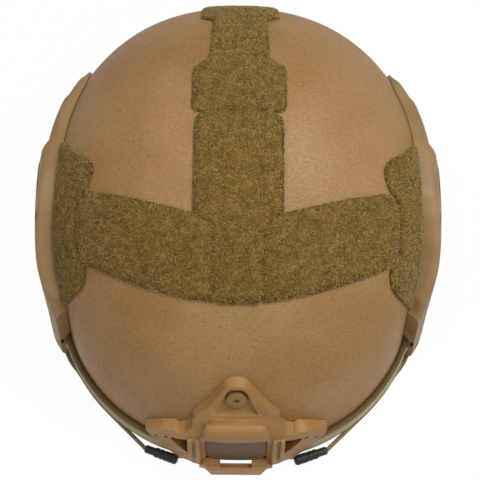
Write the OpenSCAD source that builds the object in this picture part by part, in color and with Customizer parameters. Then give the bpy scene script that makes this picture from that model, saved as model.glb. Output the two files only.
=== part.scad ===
// High-cut combat helmet with side rails, a front shroud and a padded liner.
// Millimetres, +Z up, the front of the helmet faces -Y, and it stands on its edge trim at z = 0.

/* [Shell] */
// Half of the shell's outside width
half_width = 114; // [110:0.5:118]
// Reach of the front of the shell from its crown
front_reach = 140.5; // [136:0.5:145]
// Reach of the back of the shell from its crown
rear_reach = 138.5; // [134:0.5:143]
// Height of the crown above the rest surface
crown_height = 173; // [169:0.5:178]
// Thickness of the pressed laminate
shell_wall = 8; // [6.5:0.5:9]
// Exponent of the plan outline, where 2 is an ellipse
squareness = 2.26; // [2.2:0.02:2.32]
// Exponent of the crown, where lower is fuller
crown_fullness = 0.93; // [0.9:0.01:0.96]
// How far the crown lies behind the middle
crown_shift = 5; // [3:0.5:7]
// Height of the widest line at the sides
equator_side = 84.5; // [80:0.5:88]
// Height of the widest line at the front
equator_front = -13; // [-18:0.5:-8]
// Height of the widest line at the back
equator_rear = 51; // [46:0.5:56]
// How far the temples flare out at the brim
temple_flare = 2.5; // [1.5:0.5:3.5]
// How far the nape flares out at the rim, as a share of the reach
nape_flare = 0.05; // [0.03:0.01:0.07]

/* [Ear cut] */
// Height of the edge over the ears
ear_cut_height = 74; // [70:0.5:78]
// Azimuth from the front where the edge starts to rise
ear_start = 54; // [52:0.5:56]
// Azimuth where the edge has reached the ear cut
ear_full = 84; // [82:0.5:86]
// Azimuth where the edge starts to fall behind the ear
ear_rear = 112; // [109:1:115]
// Azimuth where the edge has come down to the nape
ear_end = 142; // [139:1:145]

/* [Edge trim] */
// Thickness of the rubber edge trim
trim_wall = 2.4; // [2:0.2:2.8]
// Height of the trim's outer flap
trim_height = 17; // [15:0.5:19]
// How far the trim's bead stands out from the shell
trim_bulge = 3.8; // [3.4:0.1:4.1]

/* [Fits] */
// Clearance between pieces that lie on each other
seat_gap = 0.3; // [0.25:0.05:0.35]
// Radial clearance of a turning shaft
shaft_gap = 0.06; // [0.04:0.01:0.09]

/* [Loop fabric] */
// Thickness of the loop fabric
loop_thick = 2.4; // [2:0.1:2.8]
// Half width of the crown strip's rear flare
flare_half = 23; // [21.5:0.5:24.5]
// Half width of the crown strip's front flare
front_flare_half = 25.8; // [24:0.2:28]
// Half width of the crown strip's waist
waist_half = 16; // [14.5:0.5:17.5]
// Half width of the centre strip
centre_half = 24; // [23:0.5:25]
// Half width of the tongue between the brow bands
tongue_half = 13.5; // [12:0.5:15]
// How far the brow bands reach to each side
band_reach = 93; // [90:0.5:93.5]

/* [Side rails] */
// Azimuth of the rail's front tip
rail_front = 56; // [55:0.5:57]
// Azimuth of the rail's rear end
rail_rear = 128; // [126:0.5:130]
// Azimuth where the thick body ends and the thin arm starts
rail_body_end = 97.5; // [96:0.5:99]
// Height of the rail's top edge over the ear
rail_top = 122; // [118:0.5:125]
// How far the thick body stands out from the shell
rail_depth = 9.8; // [9.2:0.2:10.4]
// Height of the mouth of the accessory groove
groove_mouth = 15; // [13:0.5:16]
// Depth of the accessory groove
groove_depth = 3; // [2.6:0.2:3.4]
// Azimuth of the front rail screw
bolt_front = 77; // [76:0.5:78]
// Azimuth of the rear rail screw
bolt_rear = 112; // [111:0.5:113]

/* [Screws] */
// Shank diameter of the rail and shroud screws
screw_d = 4; // [3.6:0.1:4.4]
// Diameter of a rail screw's head
head_d = 8; // [7.4:0.1:8.4]
// Height of a rail screw's head
head_h = 2.4; // [2:0.1:2.6]
// Diameter of a flange nut's flange
flange_d = 14; // [13:0.5:15]
// Diameter of the shroud screw's domed head
shroud_head_d = 12.6; // [12:0.2:13]

/* [Front shroud] */
// Height of the shroud's apex
shroud_top = 86.5; // [85:0.5:88]
// Half of the width across the wing tips
wing_half = 55; // [53:0.5:57]
// Height of the shroud screw
shroud_bolt_z = 72.5; // [71.5:0.5:73.5]
// How far the upper frame stands out from the shell
frame_depth = 6; // [5.6:0.2:6.6]
// How far the skirt's ridge stands out from the shell
skirt_depth = 8; // [7.8:0.1:8.6]
// Half width of the interface slot
slot_half = 18.6; // [17.5:0.1:19]
// Top of the interface slot
slot_high = 39.5; // [38.5:0.25:40.5]
// How far the lower lip stands out from the shell
lip_reach = 11; // [10.5:0.5:12]

/* [Liner] */
// Thickness of a liner pad
pad_thick = 18; // [16:0.5:20]
// Thickness of the hook discs that hold the pads
disc_thick = 1.5; // [1.2:0.1:1.8]
// Radius of the crown pad
crown_pad_r = 46; // [42:1:50]

/* [Nape dial] */
// Height of the dial's axis
dial_z = 25; // [24:0.5:27]
// Radius of the knob
knob_r = 16; // [15:0.5:17]
// Thickness of the knob
knob_h = 9; // [8:0.5:10]
// Radius of the lace spool
spool_r = 8; // [7:0.25:9]

/* [Harness] */
// Width of the webbing
web_w = 19; // [17:0.5:20]
// Thickness of the webbing
web_t = 1.6; // [1.4:0.1:1.8]
// Distance of the side sliders from the middle
slider_x = 82; // [80:0.5:84]
// Length of the buckle's prongs
prong_l = 22; // [20:0.5:23]

/* [Hidden] */

paint_tan = [0.64, 0.52, 0.36];
moulded_tan = [0.60, 0.46, 0.30];
loop_olive = [0.45, 0.34, 0.16];
trim_khaki = [0.52, 0.46, 0.30];
steel_dark = [0.35, 0.33, 0.30];
hook_black = [0.14, 0.14, 0.14];
pad_grey = [0.30, 0.29, 0.26];
web_tan = [0.55, 0.44, 0.30];

// General curves.
function clamp01(x) = max(0, min(1, x));
function smooth(x) = let (s = clamp01(x)) s * s * (3 - 2 * s);
function mix(a, b, f) = a + (b - a) * f;
function unit(v) = v / norm(v);
// Value at x on a line through hand-placed stations [x, value].
function along(stations, x, i = 0) =
    i >= len(stations) - 2 || x <= stations[i + 1][0]
        ? mix(stations[i][1], stations[i + 1][1],
            clamp01((x - stations[i][0]) / (stations[i + 1][0] - stations[i][0])))
        : along(stations, x, i + 1);

// Shell surface. a is the azimuth from the front, d the offset outwards from the paint.
function equator(a) =
    equator_side + ((cos(a) > 0 ? equator_front : equator_rear) - equator_side) * pow(cos(a), 2);
function plan_r(a, d) =
    pow(pow(abs(sin(a)) / (half_width + d), squareness)
        + pow(abs(cos(a)) / ((cos(a) > 0 ? front_reach : rear_reach) + d), squareness),
        -1 / squareness);
temple_azimuth = 60;
temple_spread = 40;
temple_high = 70;
temple_low = 10;
function temple(a, z) =
    let (off = abs(a) - temple_azimuth)
    abs(off) > temple_spread ? 0
        : temple_flare * pow(cos(off * 90 / temple_spread), 2)
            * smooth((temple_high - z) / (temple_high - temple_low));
function raw_at(a, z, d) =
    let (z0 = equator(a))
    let (s = max(-1, min(1, (z - z0) / (crown_height + d - z0))))
    let (p = s > 0 ? pow(cos(asin(s)), crown_fullness) : 1 + nape_flare * s * s)
    let (rho = plan_r(a, d) * p + temple(a, z))
    [rho * sin(a), (s > 0 ? crown_shift * s * s : 0) - rho * cos(a), z];
rim_low = trim_wall;
lip_y = -(front_reach + lip_reach);
// The origin lies in the middle of the length from the lip to the nape trim.
y_mid = (raw_at(180, 0, trim_wall + seat_gap).y + lip_y) / 2;
function shell_at(a, z, d) = raw_at(a, z, d) - [0, y_mid, 0];
function surface_normal(a, z) =
    unit(cross(shell_at(a + 1, z, 0) - shell_at(a - 1, z, 0),
        shell_at(a, z + 1, 0) - shell_at(a, z - 1, 0)));
// Point of the surface above a place in plan, found by a few rounds of substitution.
function crown_sine(x, y, d, s, rounds) =
    rounds == 0 ? s
        : let (c = crown_shift * s * s)
            let (p = min(1, norm([x, y - c]) / plan_r(atan2(x, c - y), d)))
            let (u = pow(p, 1 / crown_fullness))
            crown_sine(x, y, d, sqrt(max(0, 1 - u * u)), rounds - 1);
function top_at(x, y, d) =
    let (s = crown_sine(x, y, d, 1, 6))
    let (z0 = equator(atan2(x, crown_shift * s * s - y)))
    [x, y - y_mid, z0 + (crown_height + d - z0) * s];

// Edge of the shell. h is the distance above the rim, measured square to it.
lead_per_mm = 0.28;
function edge_z(a, h) =
    rim_low + h + (ear_cut_height - rim_low)
        * smooth((abs(a) + lead_per_mm * h - ear_start) / (ear_full - ear_start))
        * (1 - smooth((abs(a) - lead_per_mm * h - ear_rear) / (ear_end - ear_rear)));
function edge_at(a, h, d) = shell_at(a, edge_z(a, h), d);

// Closed solids from points. A ring list is lofted and its ends are closed by fans.
module loft(rings) {
    n = len(rings);
    k = len(rings[0]);
    middle = function(r) [for (c = [0:2]) [for (p = r) 1] * [for (p = r) p[c]] / len(r)];
    points = concat([for (r = rings) each r], [middle(rings[0]), middle(rings[n - 1])]);
    sides = [for (i = [0:n - 2], j = [0:k - 1])
        let (a = i * k + j, b = i * k + (j + 1) % k)
        each [[a, a + k, b], [b, a + k, b + k]]];
    ends = [for (j = [0:k - 1])
        let (e = (n - 1) * k)
        each [[n * k, j, (j + 1) % k], [n * k + 1, e + (j + 1) % k, e + j]]];
    polyhedron(points, concat(sides, ends));
}
// A ring list whose last ring meets its first.
module loop_loft(rings) {
    n = len(rings);
    k = len(rings[0]);
    polyhedron([for (r = rings) each r],
        [for (i = [0:n - 1], j = [0:k - 1])
            let (a = i * k + j, b = i * k + (j + 1) % k)
            let (c = ((i + 1) % n) * k + j, e = ((i + 1) % n) * k + (j + 1) % k)
            each [[a, c, b], [b, c, e]]]);
}
// A thick sheet between two grids of points, the lower and the upper one.
module thick_sheet(lower, upper) {
    n = len(lower);
    k = len(lower[0]);
    m = n * k;
    rim = concat([for (j = [0:k - 1]) j], [for (i = [1:n - 1]) i * k + k - 1],
        [for (j = [k - 2:-1:0]) (n - 1) * k + j], [for (i = [n - 2:-1:1]) i * k]);
    r = len(rim);
    grid = [for (i = [0:n - 2], j = [0:k - 2])
        let (a = i * k + j)
        each [[a, a + 1, a + k], [a + 1, a + k + 1, a + k],
            [m + a, m + a + k, m + a + 1], [m + a + 1, m + a + k, m + a + k + 1]]];
    walls = [for (i = [0:r - 1])
        let (a = rim[i], b = rim[(i + 1) % r])
        each [[a, m + a, b], [b, m + a, m + b]]];
    polyhedron(concat([for (row = lower) each row], [for (row = upper) each row]),
        concat(grid, walls));
}
// A round or pillow-shaped pad between two fans of rings, each ending in a middle point.
module thick_disc(lower, upper) {
    n = len(lower) - 1;
    k = len(lower[0]);
    m = n * k + 1;
    fan = [for (j = [0:k - 1])
        let (q = (j + 1) % k)
        each [[n * k, j, q], [m + n * k, m + q, m + j]]];
    bands = n < 2 ? [] : [for (i = [0:n - 2], j = [0:k - 1])
        let (a = i * k + j, b = i * k + (j + 1) % k)
        each [[a, a + k, b], [b, a + k, b + k],
            [m + a, m + b, m + a + k], [m + b, m + b + k, m + a + k]]];
    wall = [for (j = [0:k - 1])
        let (a = (n - 1) * k + j, b = (n - 1) * k + (j + 1) % k)
        each [[a, m + a, b], [b, m + a, m + b]]];
    polyhedron(
        concat([for (i = [0:n - 1]) each lower[i]], [lower[n]],
            [for (i = [0:n - 1]) each upper[i]], [upper[n]]),
        concat(fan, bands, wall));
}
// Flat webbing of one width along a path, across is the direction of its width at each point.
module webbing(path, across, width, thick) {
    last = len(path) - 1;
    run = [for (i = [0:last]) unit(path[min(last, i + 1)] - path[max(0, i - 1)])];
    side = [for (i = [0:last]) unit(across[i] - run[i] * (across[i] * run[i]))];
    loft([for (i = [0:last])
        let (s = side[i] * width / 2)
        let (n = unit(cross(run[i], side[i])) * thick / 2)
        [path[i] - s - n, path[i] + s - n, path[i] + s + n, path[i] - s + n]]);
}
// Point on a smooth curve through the stations, u runs from 0 to the last station's number.
function spline(p, u) =
    let (i = max(0, min(len(p) - 2, floor(u))), f = u - i)
    let (a = p[max(0, i - 1)], b = p[i], c = p[i + 1], d = p[min(len(p) - 1, i + 2)])
    b + ((c - a) * f + (2 * a - 5 * b + 4 * c - d) * f * f
        + (3 * b - a - 3 * c + d) * f * f * f) / 2;
function splined(p, steps) = [for (i = [0:steps]) spline(p, i * (len(p) - 1) / steps)];
// Puts children at a place on the shell with their +Z along its outward normal.
module on_shell(a, z) {
    n = surface_normal(a, z);
    translate(shell_at(a, z, 0)) rotate([0, acos(n.z), atan2(n.y, n.x)]) children();
}

// Shell.
shell_columns = 60;
shell_rows = 13;
function shell_skin(d) =
    [for (j = [0:shell_rows - 1]) [for (i = [0:shell_columns - 1])
        let (a = -180 + i * 360 / shell_columns)
        let (top = crown_height + d, z0 = equator(a))
        let (low = asin((edge_z(a, 0) - z0) / (top - z0)))
        shell_at(a, z0 + (top - z0) * sin(mix(low, 90, j / shell_rows)), d)]];
bolt_front_z = 100.5;
bolt_rear_z = 103;
bolt_places = [[bolt_front, bolt_front_z], [-bolt_front, bolt_front_z],
    [bolt_rear, bolt_rear_z], [-bolt_rear, bolt_rear_z]];
tab_t = web_t;
// Places along a screw's axis, measured outwards from the paint.
spot_w = -(shell_wall + 1.1);
flange_top = spot_w - tab_t - 2 * seat_gap;
flange_h = 1.6;
barrel_d = screw_d + 2;
barrel_hole_d = barrel_d + 0.4;
barrel_top = -1.5;
module shell() {
    k = shell_columns;
    outer = shell_skin(0);
    inner = shell_skin(-shell_wall);
    m = shell_rows * k + 1;
    crown = [0, crown_shift - y_mid, 0];
    points = concat([for (r = outer) each r], [crown + [0, 0, crown_height]],
        [for (r = inner) each r], [crown + [0, 0, crown_height - shell_wall]]);
    bands = [for (j = [0:shell_rows - 2], i = [0:k - 1])
        let (a = j * k + i, b = j * k + (i + 1) % k)
        each [[a, a + k, b], [b, a + k, b + k],
            [m + a, m + b, m + a + k], [m + b, m + b + k, m + a + k]]];
    caps = [for (i = [0:k - 1])
        let (t = (shell_rows - 1) * k, a = i, b = (i + 1) % k)
        each [[t + a, m - 1, t + b], [m + t + a, m + t + b, 2 * m - 1],
            [a, b, m + a], [b, m + b, m + a]]];
    color(paint_tan) difference() {
        polyhedron(points, concat(bands, caps));
        for (b = bolt_places) on_shell(b.x, b.y) bolt_hole();
        on_shell(0, shroud_bolt_z) bolt_hole();
    }
}
module bolt_hole() {
    translate([0, 0, -2 * shell_wall]) cylinder(h = 3 * shell_wall, d = barrel_hole_d, $fn = 32);
    translate([0, 0, spot_w - shell_wall])
        cylinder(h = shell_wall, d = flange_d + 2, $fn = 48);
}

// Edge trim, a U of rubber over the rim.
trim_inner = 6;
// The bead's lower corner is cut back at 45 degrees, which leaves room for the bungees.
trim_tuck = 1;
tuck_rise = trim_bulge * 0.95 + trim_tuck;
module edge_trim() {
    t = trim_wall;
    g = seat_gap;
    w = shell_wall;
    h = trim_height;
    k = trim_bulge;
    section = [[h, g], [h * 0.92, k * 0.68], [h * 0.74, k * 0.93], [h * 0.47, k],
        [h * 0.24, k * 0.97], [tuck_rise - t, k * 0.95], [-t, -trim_tuck], [-t, -w],
        [-t * 0.75, -w - t * 0.7], [0, -w - t - 2 * g], [trim_inner - 1, -w - t * 0.75 - 2 * g],
        [trim_inner, -w - 2.8 * g], [-g, -w - 2.8 * g], [-g, 1.2 * g], [h / 2, 1.9 * g]];
    color(trim_khaki) loop_loft([for (i = [0:shell_columns - 1])
        let (a = -180 + i * 360 / shell_columns)
        [for (s = section) edge_at(a, s.x, s.y)]]);
}

// Loop fabric. Each strip is a grid over the crown between its two side lines.
module crown_strip(rows, side, columns) {
    g = seat_gap;
    grid = function(d) [for (y = rows) [for (j = [0:columns])
        top_at(mix(side(y), -side(y), j / columns), y, d)]];
    color(loop_olive) thick_sheet(grid(g), grid(g + loop_thick));
}
strip_rear_y = 106;
strip_seam_y = 1.5;
waist_rear_y = 77;
waist_front_y = 41;
waist_lean = 0.05;
flare_run = 9;
corner_r = 5;
seam_corner_r = 7;
// How much a strip narrows beside an end with rounded corners.
function corner_in(y, end, r) = r - sqrt(max(0, r * r - pow(max(0, r - abs(y - end)), 2)));
module loop_rear_strip() {
    side = function(y)
        let (opened = max(smooth((y - waist_rear_y) / flare_run),
            smooth((waist_front_y - y) / flare_run)))
        let (waist = waist_half - waist_lean * (y - (waist_front_y + waist_rear_y) / 2))
        mix(waist, y > waist_front_y ? flare_half : front_flare_half, opened)
            - corner_in(y, strip_rear_y, corner_r) - corner_in(y, strip_seam_y, corner_r);
    rows = [strip_rear_y, strip_rear_y - 0.8, strip_rear_y - 2.3, strip_rear_y - corner_r, 93,
        waist_rear_y + flare_run, waist_rear_y + flare_run / 2, waist_rear_y, 65, 53, waist_front_y,
        waist_front_y - flare_run / 2, waist_front_y - flare_run, 20, strip_seam_y + corner_r,
        strip_seam_y + 2.3, strip_seam_y + 0.8, strip_seam_y];
    crown_strip(rows, side, 6);
}
shoulder_y = -52.8;
tongue_y = -61;
tongue_end_y = -92.9;
module loop_centre_strip() {
    side = function(y)
        let (half = mix(centre_half, tongue_half, clamp01((shoulder_y - y) / (shoulder_y - tongue_y))))
        half - 3 * pow(clamp01((tongue_end_y + 4 - y) / 4), 2)
            - corner_in(y, strip_seam_y - seat_gap, seam_corner_r);
    seam = strip_seam_y - seat_gap;
    rows = [seam, seam - 1, seam - 3.2, seam - seam_corner_r, -16, -28, -40, shoulder_y, tongue_y,
        -69, -78, -87.5, tongue_end_y + 2, tongue_end_y];
    crown_strip(rows, side, 6);
}
// Upper and lower lines of a brow band in plan.
function band_top(x) = -60.3 + 0.24 * x + 0.0013 * x * x;
function band_low(x) = tongue_end_y + 0.00385 * x * x;
band_columns = 11;
band_rows = 5;
module brow_band(hand) {
    g = seat_gap;
    inner = function(f) let (y = mix(shoulder_y, tongue_end_y, f))
        mix(centre_half, tongue_half, clamp01((shoulder_y - y) / (shoulder_y - tongue_y))) + g;
    slant = 1.15;
    outer = function(f, d) band_reach - 6 * pow(abs(2 * f - 1), 3) - slant * (g + loop_thick - d);
    grid = function(d) [for (j = [0:band_columns]) [for (i = [0:band_rows])
        let (f = hand > 0 ? i / band_rows : 1 - i / band_rows)
        let (x = mix(inner(f), outer(f, d), j / band_columns))
        top_at(hand * x, mix(band_top(x), band_low(x), f), d)]];
    color(loop_olive) thick_sheet(grid(g), grid(g + loop_thick));
}
module loop_band_left() brow_band(-1);
module loop_band_right() brow_band(1);

// Side rails. Lower and upper edge, and how far the rail stands out, along the azimuth.
rail_clear = trim_height + 1;
// The rail's upper line as azimuths and depths below its top.
rail_line = [[54, 50], [57, 47], [60, 43.5], [64, 37], [68, 28], [72, 19], [76, 11.5], [81, 5.5],
    [88, 1.5], [96, 0]];
toe_z = 8;
toe_end = rail_front + 3.5;
toe_in = trim_bulge + 0.6;
function rail_low(a) =
    mix(toe_z, rim_low + rail_clear + (ear_cut_height - rim_low)
        * smooth((a + lead_per_mm * rail_clear - ear_start) / (ear_full - ear_start)),
        smooth((a - toe_end) / 3.5));
function rail_inner(a) = mix(toe_in, seat_gap, smooth((a - toe_end - 4) / 2));
function rail_taper(a) =
    mix(0.86, 1, smooth((a - rail_front) / 3)) * mix(1, 0.6, smooth((a - rail_rear + 8) / 8));
function rail_high(a) = mix(rail_low(a), rail_top - along(rail_line, a), rail_taper(a));
// Height where the rail's back comes in from the trim to the shell.
function rail_step(a) =
    max(mix(rail_low(a), rail_high(a), 0.1), edge_z(a, trim_height) + 4 * seat_gap);
function rail_out(a) =
    rail_depth * along([[rail_front, 0.8], [rail_front + 3, 0.95], [rail_front + 7, 1.08],
        [rail_front + 13, 1.14], [rail_front + 22, 1], [86, 0.96], [rail_body_end - 1.5, 1],
        [rail_body_end + 1.5, 0.72], [114, 0.66], [115.5, 0.54], [rail_rear - 5, 0.42],
        [rail_rear, 0.26]], a);
function groove_at(a) =
    0.2 + (groove_depth - 0.2) * smooth((a - 84) / 2) * smooth((rail_body_end - 2 - a) / 2);
rail_stations = [rail_front, rail_front + 1.5, rail_front + 3.5, rail_front + 5.2,
    rail_front + 7, rail_front + 10.5, rail_front + 14, rail_front + 18, rail_front + 22, 80, 84,
    86, 90, rail_body_end - 4, rail_body_end - 2, rail_body_end + 1.5, 104, 109, 114, 115.5,
    119.5, rail_rear - 5, rail_rear - 2, rail_rear];
// Seat of the screw heads, and the eyelet in the toe that the bungee ends in.
head_seat = 3.4;
eyelet_w = 4.2;
eyelet_a = rail_front + 2.6;
eyelet_z = 19;
eyelet_d = (toe_in + rail_out(eyelet_a)) / 2;
module rail(hand) {
    section = function(a)
        let (low = rail_low(a), high = rail_high(a), mid = mix(low, high, 0.5))
        let (h = high - low, out = rail_out(a), g = groove_at(a), in = rail_inner(a))
        let (mouth = min(groove_mouth / 2, h * 0.24), floor_z = mouth + g * 0.4)
        [[low, in], [rail_step(a), in], [mix(rail_step(a), high, 0.15), seat_gap],
            [mix(rail_step(a), high, 0.42), seat_gap], [mix(rail_step(a), high, 0.7), seat_gap],
            [high, seat_gap], [high, out * 0.66], [high - h * 0.04, out * 0.9],
            [high - h * 0.12, out], [mid + mouth, out], [mid + floor_z, out - g],
            [mid - floor_z, out - g], [mid - mouth, out], [low + h * 0.12, out],
            [low + h * 0.03, out * 0.85], [low, out * 0.6]];
    ring = function(a) let (s = section(a), n = len(s))
        [for (i = [0:n - 1])
            let (p = s[hand > 0 ? i : n - 1 - i])
            shell_at(hand * a, p.x, p.y)];
    color(moulded_tan) difference() {
        loft([for (a = rail_stations) ring(a)]);
        for (b = [[bolt_front, bolt_front_z], [bolt_rear, bolt_rear_z]])
            on_shell(hand * b.x, b.y) {
                translate([0, 0, -shell_wall])
                    cylinder(h = 4 * shell_wall, d = screw_d + 0.6, $fn = 32);
                translate([0, 0, head_seat]) cylinder(h = 2 * rail_depth, d = head_d + 1, $fn = 40);
            }
        // Eyelet and the channel that takes the bungee's end from below.
        translate(shell_at(hand * eyelet_a, eyelet_z, eyelet_d)) {
            rotate([90, 0, hand * (90 - eyelet_a)]) cylinder(h = 4 * toe_in, d = eyelet_w, $fn = 24);
            translate([0, 0, -20]) cylinder(h = 20, d = bungee_d + 1.3, $fn = 24);
        }
    }
}
module rail_left() rail(-1);
module rail_right() rail(1);

// Side patches of loop fabric, between the rail's top edge and the brow band's end.
// Each row joins an azimuth on the rail to an inner point [azimuth, height].
side_rows = [[96.5, 93.5, 128.5], [93, 87, 138], [88, 81.5, 144.5], [83, 76, 146.5],
    [79.5, 71.5, 143.8], [76, 71.5, 136.5], [72, 65.8, 126], [68.5, 58.2, 113.2],
    [66, 53.8, 115.8], [63, 50.3, 109], [60.5, 50.8, 100], [58.8, 52.8, 90], [57, 55, 77.5]];
module side_patch(hand) {
    g = seat_gap;
    grid = function(d) [for (r = side_rows) [for (j = [0:4])
        let (f = hand > 0 ? j / 4 : 1 - j / 4)
        shell_at(hand * mix(r[0], r[1], f), mix(rail_high(r[0]) + 1, r[2], f), d)]];
    color(loop_olive) thick_sheet(grid(g + 0.2), grid(g + loop_thick));
}
module loop_side_left() side_patch(-1);
module loop_side_right() side_patch(1);

// Screws and flange nuts.
module nut() {
    difference() {
        union() {
            translate([0, 0, flange_top - flange_h]) cylinder(h = flange_h, d = flange_d, $fn = 48);
            translate([0, 0, flange_top]) cylinder(h = barrel_top - flange_top, d = barrel_d, $fn = 32);
        }
        translate([0, 0, flange_top - 2 * flange_h])
            cylinder(h = barrel_top - flange_top + 4 * flange_h, d = screw_d + 2 * shaft_gap, $fn = 32);
    }
}
module rail_screws() {
    for (b = bolt_places) color(steel_dark) on_shell(b.x, b.y) difference() {
        union() {
            translate([0, 0, head_seat]) cylinder(h = head_h, d = head_d, $fn = 40);
            translate([0, 0, flange_top - flange_h])
                cylinder(h = head_seat - flange_top + flange_h, d = screw_d, $fn = 32);
        }
        translate([0, 0, head_seat + head_h / 2]) cylinder(h = head_h, d = head_d * 0.45, $fn = 6);
    }
}
module rail_nuts() {
    for (b = bolt_places) color(steel_dark) on_shell(b.x, b.y) nut();
}

// Front shroud. front_block is the helmet's front, grown outwards by a depth of x and z.
block_half = 28;
block_columns = 16;
block_zs = [-6, 3, 8, 13, 17, rim_low + trim_height + 1.2, 27, 34, 41, 46, 54, 62, 70, 78, 86, 95,
    104];
block_back = -95;
function front_rows(depth) =
    [for (z = block_zs) [for (i = [0:block_columns])
        let (a = mix(-block_half, block_half, i / block_columns))
        shell_at(a, z, depth(shell_at(a, z, 0).x, z))]];
module front_block(depth) {
    face = front_rows(depth);
    thick_sheet([for (r = face) [for (p = r) [p.x, block_back - y_mid, p.z]]], face);
}
function frame_out(x, z) =
    along([[0, skirt_depth - 1.4], [14, skirt_depth - 1], [41, skirt_depth], [46, skirt_depth],
        [62, frame_depth], [104, frame_depth]], z) * mix(1, 0.7, smooth((abs(x) - 32) / 20));
behind_trim = trim_bulge + 2 * seat_gap;
function frame_in(x, z) = z < rim_low + trim_height + 1.2 ? behind_trim : seat_gap;
arm_half = 25.5;
strut_half = 29;
ridge_z = 41.5;
lip_half = 21;
lip_high = 9.5;
lip_bar = 5.6;
// Outline of the shroud seen from the front, right half from the apex down.
shroud_side = [[2.2, shroud_top], [4.9, shroud_top - 0.9], [7.2, shroud_top - 2.8],
    [9.2, shroud_top - 5.6], [16, 70.5], [arm_half, 58],
    [arm_half + 0.3, 51.5], [30, 45.5], [33.8, 43], [36.5, ridge_z + 3.2], [43.5, ridge_z],
    [wing_half - 1.5, 33], [wing_half, 30.5], [wing_half - 0.8, 26.5], [49, 20.5], [41, 12.5],
    [33.5, 7], [lip_half + 1, 3]];
module mirrored_outline(side) {
    polygon(concat(side, [for (i = [len(side) - 1:-1:0]) [-side[i].x, side[i].y]]));
}
// Stands a flat outline in the helmet's front, from the back plane to the given y.
module upright(front_y, back_y) {
    translate([0, back_y - y_mid, 0]) rotate([90, 0, 0])
        linear_extrude(back_y - front_y) children();
}
recess_side = [[3.2, shroud_top - 2.2], [6, shroud_top - 5], [13.2, 63]];
pad_half = 18;
pad_low = 45.5;
pad_high = 58.5;
pad_depth = 10.2;
bar_half = 15.2;
bar_high = 60.5;
lip_notch = 9.7;
pocket_d = behind_trim + 2.2;
pocket_high = 15;
shroud_seat = 2.8;
// A plane in front of the whole helmet.
front_y = lip_y - 20;
lip_chamfer = [6, 4];
pocket_x = 31;
pocket_half = 5.5;
// The slot's back wall stands in front of the trim and has cut lower corners.
back_wall = 1.4;
back_low = 11;
back_corner = 6.5;
module shroud_frame() {
    color(moulded_tan) difference() {
        union() {
            intersection() {
                upright(front_y, block_back + 10) difference() {
                    mirrored_outline(shroud_side);
                    mirrored_outline(recess_side);
                    translate([-slot_half, -1]) square([2 * slot_half, slot_high + 1]);
                    for (s = [-1, 1]) scale([s, 1])
                        polygon([[strut_half, 37.5], [38.5, 36], [39.5, 33], [strut_half, 18.5]]);
                }
                front_block(function(x, z) frame_out(x, z));
            }
            // Floor of the bolt recess.
            intersection() {
                upright(front_y, block_back + 10) mirrored_outline([[4.2, shroud_top - 1.4],
                    [7.2, shroud_top - 4.6], [15, 61], [15, 58]]);
                front_block(function(x, z) shroud_seat);
            }
            // Raised block with its bevelled upper edge.
            intersection() {
                upright(front_y, block_back + 10) offset(r = 3, $fn = 16) offset(delta = -3)
                    translate([-pad_half, pad_low - 1]) square([2 * pad_half, pad_high - pad_low + 1]);
                front_block(function(x, z) pad_depth);
            }
            intersection() {
                upright(front_y, block_back + 10) translate([-bar_half, pad_low + 4])
                    square([2 * bar_half, bar_high - pad_low - 4]);
                front_block(function(x, z) pad_depth - 1.2);
            }
            // Ribs down both struts.
            intersection() {
                upright(front_y, block_back + 10) for (s = [-1, 1]) scale([s, 1])
                    polygon([[22.6, 4], [27.4, 6], [26.6, ridge_z - 1], [22, ridge_z - 1]]);
                front_block(function(x, z) frame_out(x, z) + 0.9);
            }
            intersection() {
                upright(front_y, block_back + 10) mirrored_outline([[slot_half + 1, slot_high + 1],
                    [slot_half + 1, back_low + back_corner], [slot_half - back_corner + 1, back_low]]);
                front_block(function(x, z) behind_trim + back_wall);
            }
            // Lower lip, a chamfered bar in front of the brim with a block at each end.
            intersection() {
                upright(lip_y, lip_y + lip_bar) polygon([[-lip_half, 5.5], [-lip_half, lip_high],
                    [lip_half, lip_high], [lip_half, 5.5], [lip_half - 5.5, 0.3],
                    [-lip_half + 5.5, 0.3]]);
                translate([0, lip_y - y_mid, 0]) linear_extrude(2 * lip_high)
                    polygon([[-lip_half, lip_bar], [-lip_half, lip_chamfer.y],
                        [-lip_half + lip_chamfer.x, 0], [lip_half - lip_chamfer.x, 0],
                        [lip_half, lip_chamfer.y], [lip_half, lip_bar]]);
            }
            for (s = [-1, 1]) scale([s, 1, 1])
                upright(lip_y + lip_chamfer.y - 1, -(front_reach + behind_trim) + 1.5)
                    polygon([[lip_notch, 2.5], [lip_notch, lip_high + 1.4],
                        [lip_half - 1, lip_high + 1.4], [lip_half + 1.5, lip_high - 0.5],
                        [lip_half + 1.5, 6], [lip_half - 3, 2.5]]);
        }
        // Recess in the bar for the interface's catch.
        translate([-lip_notch, lip_y - y_mid + 2, lip_high - 3]) cube([2 * lip_notch, lip_bar, 4]);
        front_block(function(x, z) frame_in(x, z));
        // Pockets behind the skirt for the bungee hooks.
        intersection() {
            front_block(function(x, z) pocket_d);
            for (s = [-1, 1])
                translate([s * pocket_x - pocket_half, front_y, -1])
                    cube([2 * pocket_half, block_back - front_y, pocket_high + 1]);
        }
        on_shell(0, shroud_bolt_z) {
            translate([0, 0, -shell_wall]) cylinder(h = 3 * shell_wall, d = screw_d + 0.6, $fn = 32);
            translate([0, 0, shroud_seat])
                cylinder(h = 20, d = shroud_head_d + 1.2, $fn = 48);
        }
        for (s = [-1, 1], p = [[48.5, 27.5, 2.2], [42, 33, 2.6]])
            translate([s * p.x, -90, p.y]) rotate([90, 0, 0]) cylinder(h = 90, d = p.z, $fn = 24);
    }
}
shroud_head_h = 2.6;
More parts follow.
